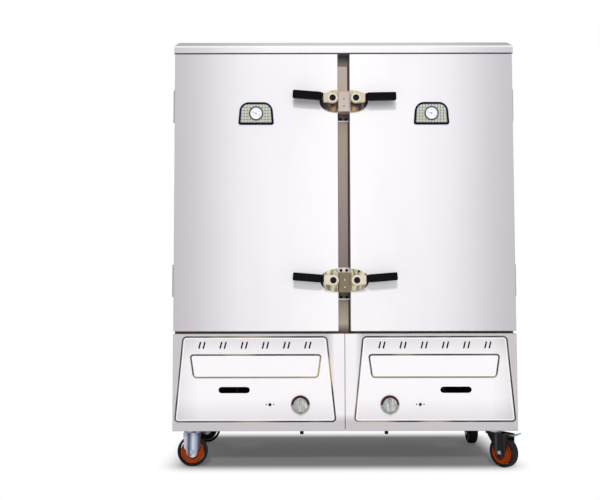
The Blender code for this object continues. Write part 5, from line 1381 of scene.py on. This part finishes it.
pick_edges(housing, lambda edge: edge.is_boundary)
bpy.ops.mesh.edge_face_add()
all_moved(HOUSING_FLAT_U, -SKIN_GAP, 0)
bpy.ops.mesh.normals_make_consistent(inside=False)
shaded(housing, 28.0)

housing_screw = cylinder_along_y("housing_screw", HOUSING_SCREW_RADIUS, HOUSING_SCREW_HALF, 32)
pick_faces(housing_screw, front_face)
stepped(*HOUSING_SCREW_STEPS)
all_moved(HOUSING_SCREW_PLACE[0], -HOUSING_SCREW_REACH, HOUSING_SCREW_PLACE[1])
shaded(housing_screw)

for level, level_z in LATCH_HEIGHTS.items():
    housing_z = level_z - HOUSING_DROPS[level]
    cast = Finish(f"{level}_housing_casting", GILT_STOPS[2][1], 0.30, 0.6)
    cast_x, _, cast_z, cast_point = cast.place()
    cast_u = abs(cast_x) - LATCH_X
    cast_w = cast_z - housing_z
    streak = cast.noise(cast.scaled(cast_point, (70.0, 12.0, 22.0)), 1.0, 2.0, 0.45)
    fine = cast.noise(cast_point, 420.0, 3.0)
    shine = ((streak - 0.34) * 3.0).clamped()
    rim_x = (cast_u - HOUSING_FLAT_U) / HOUSING_WIDTH
    rim_z = cast_w / HOUSING_HALF_HEIGHT
    out_to_rim = rim_x * rim_x + rim_z * rim_z
    # On the upper pair the half under the lever is painted dark, as painted shade and painted
    # reflection, with a painted tan highlight near its foot.
    if level == "upper":
        under_lever_shade = cast.ramp(((streak - 0.36) * 2.6).clamped(), UNDER_LEVER_SHADE_STOPS)
        from_tan_highlight = corner_to_corner((cast_u - TAN_HIGHLIGHT_SPOT[0]) * 0.8, cast_w - TAN_HIGHLIGHT_SPOT[1])
        in_tan_highlight = (1.4 - from_tan_highlight / TAN_HIGHLIGHT_RADIUS * 1.4).clamped()
        under_lever_shade = cast.mixed(in_tan_highlight * (0.35 + shine * 0.65), under_lever_shade, TAN_HIGHLIGHT)
        above_lever = ((cast_w - LEVER_SHADE_W) * 200.0).clamped()
        colour = cast.mixed(above_lever, under_lever_shade, cast.ramp(shine, CREAM_STOPS))
    else:
        colour = cast.ramp(shine, GILT_STOPS)
    # A painted highlight runs round the rim, short of its outer end.
    on_rim_highlight = (out_to_rim > RIM_START) * (cast_u < RIM_END_U)
    colour = cast.mixed(on_rim_highlight * 0.8, colour, RIM_HIGHLIGHT)
    band_edge = (abs(cast_w) / BAND_TOP_W * 0.35 + 0.60).at_most(0.96)
    black_band = (out_to_rim > band_edge) * (cast_u > BAND_START_U) * (cast_w < BAND_TOP_W)
    cast.ends(
        base_color=cast.mixed(black_band, colour, BAND_BLACK),
        roughness=0.28 + fine * 0.14,
        normal=cast.bumps(fine, 0.0002, 0.35),
    )
    for side_name, side in SIDES.items():
        mirrored = Matrix.Diagonal((side, 1, 1, 1))
        spot = Matrix.Translation((side * LATCH_X, FRONT_FACE, housing_z)) @ mirrored
        name = f"{side_name}_{level}_latch_housing"
        shell = coat(copied(housing, f"{name}_shell", spot), cast.material)
        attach(shell, f"{side_name}_door")
        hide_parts(name)

black_bolt = Finish("bolt_black", BOLT_BLACK, 0.35, specular=BLACK_SHEEN)
bolt_point = black_bolt.place()[3]
bolt_wear = black_bolt.noise(bolt_point, 250.0, 3.0)
black_bolt.ends(
    base_color=black_bolt.mixed(bolt_wear, BOLT_DARK, BOLT_WORN),
    roughness=0.30 + bolt_wear * 0.2,
)
screw_spot = Matrix.Translation((LATCH_X, FRONT_FACE, LATCH_HEIGHTS["lower"]))
placed_screw = copied(housing_screw, "right_lower_housing_screw", screw_spot)
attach(coat(placed_screw, black_bolt.material), "right_door")

# Each lever is a cast plate with a ring boss round its pivot. It turns on a black socket
# bolt in a bright washer, and a tang from it carries the grip.
LEVER_BACK = -0.0286
LEVER_FRONT = -0.0466
LEVER_REACH = 0.0378
LEVER_ROOT_HALF = 0.0218
LEVER_TIP_HIGH = 0.0200
LEVER_TIP_LOW = -0.0165
LEVER_CHAMFER = 0.0035
LEVER_ROUND = 0.0012
BOSS_RADIUS = 0.0222
BOSS_INSET = 0.0002
BOSS_SIDES = 56
WASHER_RADIUS = 0.0188
WASHER_HEIGHT = 0.0008
WASHER_STEPS = ((0.0012, 0.0003), (0.0040, 0.0), (0.0004, -0.0004))
BOLT_RADIUS = 0.0130
BOLT_TOP = -0.0502
BOLT_ROUND = 0.0006
SOCKET_STEPS = ((0.0012, 0.0), (0.0030, 0.0), (0.0003, -0.0024))
NECK_SIZE = (0.0220, 0.0160, 0.0300)
NECK_ROUND = 0.0015
NECK_U = 0.0505
NECK_Y = -0.0420
GRIP_START = 0.0460
GRIP_END = 0.1660
GRIP_THICKNESS = 0.0250
GRIP_FRONT = -0.0580
GRIP_HEIGHT = 0.0330
GRIP_ROUND = 0.0058
GRIP_SLANT = 0.0050
GRIP_FACE_AREA = 0.001
GRIP_PANEL_STEPS = ((0.0030, 0.0), (0.0010, -0.0009))
GRIP_RISE = 0.003
GRIP_TILTS = {("upper", "right"): 1.0}
GRIP_TILT = 4.6
LEVER_CREAM = (0.78, 0.69, 0.53)
LEVER_BRONZE = (0.52, 0.42, 0.28)
LEVER_PALE = (0.80, 0.75, 0.65)
LEVEL_SPLIT_Z = 1.15
LEVER_LOWER_SHADE = (0.46, 0.43, 0.30)
WASHER_BRIGHT = (0.88, 0.84, 0.74)
WASHER_DULL = (0.70, 0.62, 0.48)
GRIP_BLACK = (0.0020, 0.0020, 0.0028)
GRIP_SHEEN = (0.0070, 0.0065, 0.0090)

lever_middle = (LEVER_BACK + LEVER_FRONT) / 2
lever_size = (LEVER_REACH, LEVER_BACK - LEVER_FRONT, 2 * LEVER_ROOT_HALF)
lever = block("latch_lever", lever_size, (LEVER_REACH / 2, lever_middle, 0))
bpy.ops.object.mode_set(mode="EDIT")
lever_mesh = bmesh.from_edit_mesh(lever.data)
for vertex in lever_mesh.verts:
    if vertex.co.x > LEVER_REACH * 0.9:
        vertex.co.z = LEVER_TIP_HIGH if vertex.co.z > 0 else LEVER_TIP_LOW
bmesh.update_edit_mesh(lever.data)


def tip_corners(edge):
    at_tip = all(end.co.x > LEVER_REACH * 0.9 for end in edge.verts)
    return at_tip and abs(edge.verts[0].co.z - edge.verts[1].co.z) < 0.001


pick_edges(lever, tip_corners)
bpy.ops.mesh.bevel(offset=LEVER_CHAMFER, segments=3, affect="EDGES")

boss_half = (LEVER_BACK - LEVER_FRONT) / 2 - BOSS_INSET
boss = cylinder_along_y("boss", BOSS_RADIUS, boss_half, BOSS_SIDES)
all_moved(0, lever_middle, 0)


def fused(piece, other):
    """Joins a second piece into the first by a union."""
    nothing_selected()
    piece.select_set(True)
    bpy.context.view_layer.objects.active = piece
    union = piece.modifiers.new("union", "BOOLEAN")
    union.operation = "UNION"
    union.solver = "EXACT"
    union.object = other
    bpy.ops.object.modifier_apply(modifier=union.name)
    bpy.data.objects.remove(other)


fused(lever, boss)
edge_bevelled(lever, LEVER_ROUND)
shaded(lever)

washer_half = WASHER_HEIGHT / 2
washer = cylinder_along_y("washer", WASHER_RADIUS, washer_half, BOSS_SIDES)
all_moved(0, LEVER_FRONT - washer_half, 0)
pick_faces(washer, front_face)
stepped(*WASHER_STEPS)
shaded(washer)

bolt_half = (LEVER_FRONT - BOLT_TOP) / 2
bolt = cylinder_along_y("pivot_bolt", BOLT_RADIUS, bolt_half, 40)
all_moved(0, BOLT_TOP + bolt_half, 0)
pick_faces(bolt, front_face)
stepped(*SOCKET_STEPS)
edge_bevelled(bolt, BOLT_ROUND)
shaded(bolt)

neck = block("grip_neck", NECK_SIZE, (NECK_U, NECK_Y, 0))
edge_bevelled(neck, NECK_ROUND)
shaded(neck)

grip_size = (GRIP_END - GRIP_START, GRIP_THICKNESS, GRIP_HEIGHT)
grip_middle = ((GRIP_START + GRIP_END) / 2, GRIP_FRONT + GRIP_THICKNESS / 2, 0)
grip = block("latch_grip", grip_size, grip_middle)
bpy.ops.object.mode_set(mode="EDIT")


def low_inner_edge(edge):
    return all(end.co.x < GRIP_START + 1e-6 and end.co.z < 0 for end in edge.verts)


pick_edges(grip, low_inner_edge)
bpy.ops.transform.translate(value=(GRIP_SLANT, 0, 0))
bpy.ops.mesh.select_all(action="SELECT")
bpy.ops.mesh.bevel(offset=GRIP_ROUND, segments=4, affect="EDGES")
pick_faces(grip, lambda face: flat_front(face) and face.calc_area() > GRIP_FACE_AREA)
stepped(*GRIP_PANEL_STEPS)
shaded(grip)

cream = Finish("lever_cream", LEVER_CREAM, 0.3, 0.55)
_, _, cream_z, cream_point = cream.place()
is_lower = cream_z < LEVEL_SPLIT_Z
latch_spacing = LATCH_HEIGHTS["upper"] - LATCH_HEIGHTS["lower"]
cream_w = cream_z - LATCH_HEIGHTS["upper"] + is_lower * latch_spacing
cream_fine = cream.noise(cream_point, 380.0, 3.0)
cream_cloud = cream.noise(cream.scaled(cream_point, (55.0, 20.0, 30.0)), 1.0, 2.0)
plate_colour = cream.mixed(cream_cloud, LEVER_BRONZE, LEVER_CREAM)
plate_colour = cream.mixed(is_lower * 0.6, plate_colour, LEVER_PALE)
# The lower part of each plate is painted darker, olive, as painted shade.
lower_plate_shade = ((cream_w + 0.010) * -70.0).clamped()
plate_colour = cream.mixed(lower_plate_shade * 0.5, plate_colour, LEVER_LOWER_SHADE)
cream.ends(
    base_color=plate_colour,
    roughness=0.24 + cream_fine * 0.16,
    normal=cream.bumps(cream_fine, 0.0002, 0.3),
)
washer_steel = brushed_steel("washer_steel", WASHER_BRIGHT, WASHER_DULL, "Z", 0.30, 0.4)
grip_rubber = Finish("grip_rubber", GRIP_BLACK, 0.52, specular=BLACK_SHEEN)
grip_point = grip_rubber.place()[3]
grip_fine = grip_rubber.noise(grip_point, 330.0, 4.0, 0.6)
grip_rubber.ends(
    base_color=grip_rubber.mixed(grip_fine, GRIP_BLACK, GRIP_SHEEN),
    roughness=0.42 + grip_fine * 0.22,
    normal=grip_rubber.bumps(grip_fine, 0.0004, 0.4),
)
for level, level_z in LATCH_HEIGHTS.items():
    for side_name, side in SIDES.items():
        mirrored = Matrix.Diagonal((side, 1, 1, 1))
        spot = Matrix.Translation((side * LATCH_X, FRONT_FACE, level_z)) @ mirrored
        tilt = math.radians(-GRIP_TILTS.get((level, side_name), GRIP_TILT))
        tip_up = Matrix.Translation((0, 0, GRIP_RISE)) @ Matrix.Rotation(tilt, 4, "Y")
        body = f"{side_name}_{level}_latch"
        lever_piece = coat(copied(lever, f"{body}_plate", spot), cream.material)
        washer_piece = coat(copied(washer, f"{body}_washer", spot), washer_steel.material)
        neck_piece = coat(copied(neck, f"{body}_neck", spot @ tip_up), grip_rubber.material)
        grip_piece = coat(copied(grip, f"{body}_sleeve", spot @ tip_up), grip_rubber.material)
        for piece in (lever_piece, washer_piece, neck_piece, grip_piece):
            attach(piece, body)
            black_piece = piece in (neck_piece, grip_piece)
        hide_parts(f"{body}_lever")
        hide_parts(f"{body}_grip")
        bolt_piece = coat(copied(bolt, f"{body}_pivot_bolt", spot), black_bolt.material)
        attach(bolt_piece, f"{side_name}_door")
for piece in (housing, housing_screw, lever, washer, neck, grip, bolt):
    bpy.data.objects.remove(piece)

# Between the doors the mullion carries two keepers: a bolted plate and a raised block that
# both levers hook behind. The upper one is pinkish and the lower one a darker khaki. Below the
# block each plate is painted dark as the block's painted shadow.
KEEPER_HALF_WIDTH = 0.025
KEEPER_DROP = 0.0135
MULLION_FACE = -0.2625
KEEPER_PLATE_HALF = 0.068
KEEPER_PLATE_THICKNESS = 0.003
KEEPER_BLOCK_HALF = 0.037
KEEPER_BLOCK_RISE = 0.0090
KEEPER_BLOCK_FRONT = -0.3315
KEEPER_ROUND = 0.003
KEEPER_BOLT_RISE = 0.0565
KEEPER_BOLT_X = 0.012
KEEPER_BOLT_RADIUS = 0.0062
KEEPER_RIVET_RADIUS = 0.0026
FOOT_EDGE_HEIGHT = 0.0060
KEEPER_RIVET_RISE = 0.015
KEEPER_CORNER = 0.004
KEEPER_EDGE_ROUND = 0.0006
KEEPER_BLOCK_BED = 0.0005
KEEPER_BLOCK_STEPS = ((0.0060, 0.0), (0.0008, -0.0005))
KEEPER_BOLT_HALF = 0.0018
KEEPER_BOLT_BED = 0.0009
KEEPER_BOLT_STEPS = ((0.0008, 0.0005), (0.0014, 0.0), (0.0002, -0.0011))
KEEPER_RIVET_HALF = 0.0009
KEEPER_RIVET_BED = 0.0002
KEEPER_RIVET_STEP = (0.0009, 0.0003)
BLUSH = (0.54, 0.45, 0.39)
BLUSH_LIGHT = (0.64, 0.55, 0.49)
KHAKI = (0.150, 0.120, 0.075)
KHAKI_LIGHT = (0.280, 0.230, 0.150)
PLATE_BLOCK_SHADOW = (0.045, 0.035, 0.032)
PLATE_LIGHT = (0.84, 0.79, 0.72)

plate_back = MULLION_FACE - SKIN_GAP
plate_front = plate_back - KEEPER_PLATE_THICKNESS
plate_size = (2 * KEEPER_HALF_WIDTH, KEEPER_PLATE_THICKNESS, 2 * KEEPER_PLATE_HALF)
keeper_plate = block("keeper_plate", plate_size, (0, (plate_back + plate_front) / 2, 0))
bpy.ops.object.mode_set(mode="EDIT")
pick_edges(keeper_plate, lambda edge: abs(edge.verts[0].co.y - edge.verts[1].co.y) > 0.001)
bpy.ops.mesh.bevel(offset=KEEPER_CORNER, segments=4, affect="EDGES")
edge_bevelled(keeper_plate, KEEPER_EDGE_ROUND)
shaded(keeper_plate)

block_back = plate_front + KEEPER_BLOCK_BED
block_size = (2 * KEEPER_HALF_WIDTH, block_back - KEEPER_BLOCK_FRONT, 2 * KEEPER_BLOCK_HALF)
keeper_block = block("keeper_block", block_size, (0, (block_back + KEEPER_BLOCK_FRONT) / 2, 0))
bpy.ops.object.mode_set(mode="EDIT")
pick_faces(keeper_block, front_face)
stepped(*KEEPER_BLOCK_STEPS)
pick_edges(keeper_block, lambda edge: min(end.co.z for end in edge.verts) > 0.0)
bpy.ops.transform.translate(value=(0, 0, KEEPER_BLOCK_RISE))
edge_bevelled(keeper_block, KEEPER_ROUND, 4, 60.0)
shaded(keeper_block)

keeper_bolt = cylinder_along_y("keeper_bolt", KEEPER_BOLT_RADIUS, KEEPER_BOLT_HALF, 28)
pick_faces(keeper_bolt, front_face)
stepped(*KEEPER_BOLT_STEPS)
all_moved(0, plate_front - KEEPER_BOLT_BED, 0)
shaded(keeper_bolt)

keeper_rivet = cylinder_along_y("keeper_rivet", KEEPER_RIVET_RADIUS, KEEPER_RIVET_HALF, 24)
pick_faces(keeper_rivet, front_face)
stepped(KEEPER_RIVET_STEP)
all_moved(0, KEEPER_BLOCK_FRONT + KEEPER_RIVET_BED, 0)
shaded(keeper_rivet)

for level, level_z in LATCH_HEIGHTS.items():
    middle_z = level_z - KEEPER_DROP
    block_colours = (BLUSH_LIGHT, BLUSH) if level == "upper" else (KHAKI_LIGHT, KHAKI)
    block_steel = brushed_steel(f"{level}_keeper_steel", *block_colours, "Z", 0.34, 0.4)
    plate_steel = Finish(f"{level}_keeper_plate_steel", PLATE_LIGHT, 0.34, 0.4)
    _, _, plate_z, plate_point = plate_steel.place()
    plate_streak = plate_steel.noise(plate_steel.scaled(plate_point, (30.0, 30.0, 90.0)), 1.0, 3.0)
    # Below the block the plate is painted dark as the block's painted shadow, down to a light strip
    # at its foot.
    above_middle = plate_z > middle_z
    foot_edge = plate_z < middle_z - KEEPER_PLATE_HALF + FOOT_EDGE_HEIGHT
    top_colour = BLUSH if level == "upper" else PLATE_LIGHT
    plate_colour = plate_steel.mixed(above_middle, PLATE_BLOCK_SHADOW, top_colour)
    plate_colour = plate_steel.mixed(plate_streak * 0.25, plate_colour, BLUSH)
    plate_steel.ends(
        base_color=plate_steel.mixed(foot_edge, plate_colour, PLATE_LIGHT),
        roughness=0.28 + plate_streak * 0.15,
    )
    at = Matrix.Translation((0, 0, middle_z))
    block_piece = coat(copied(keeper_block, f"{level}_keeper_block", at), block_steel.material)
    plate_piece = coat(copied(keeper_plate, f"{level}_keeper_plate", at), plate_steel.material)
    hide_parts(f"{level}_latch_keeper")
    fixed_pieces = [block_piece, plate_piece]
    for end, end_name in ((1, "top"), (-1, "foot")):
        rivet_at = Matrix.Translation((0, 0, middle_z + end * KEEPER_RIVET_RISE))
        rivet_finish = black_bolt.material if level == "upper" else washer_steel.material
        rivet_piece = copied(keeper_rivet, f"{level}_{end_name}_keeper_rivet", rivet_at)
        fixed_pieces.append(coat(rivet_piece, rivet_finish))
        for side_name, side in SIDES.items():
            bolt_place = (side * KEEPER_BOLT_X, 0, middle_z + end * KEEPER_BOLT_RISE)
            bolt_name = f"{level}_{end_name}_{side_name}_keeper_bolt"
            bolt_piece = copied(keeper_bolt, bolt_name, Matrix.Translation(bolt_place))
            sunk = level == "upper" and end_name == "top"
            bolt_finish = plate_steel if sunk else black_bolt
            fixed_pieces.append(coat(bolt_piece, bolt_finish.material))
    for piece in fixed_pieces:
        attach(piece, "cabinet")
for piece in (keeper_plate, keeper_block, keeper_bolt, keeper_rivet):
    bpy.data.objects.remove(piece)
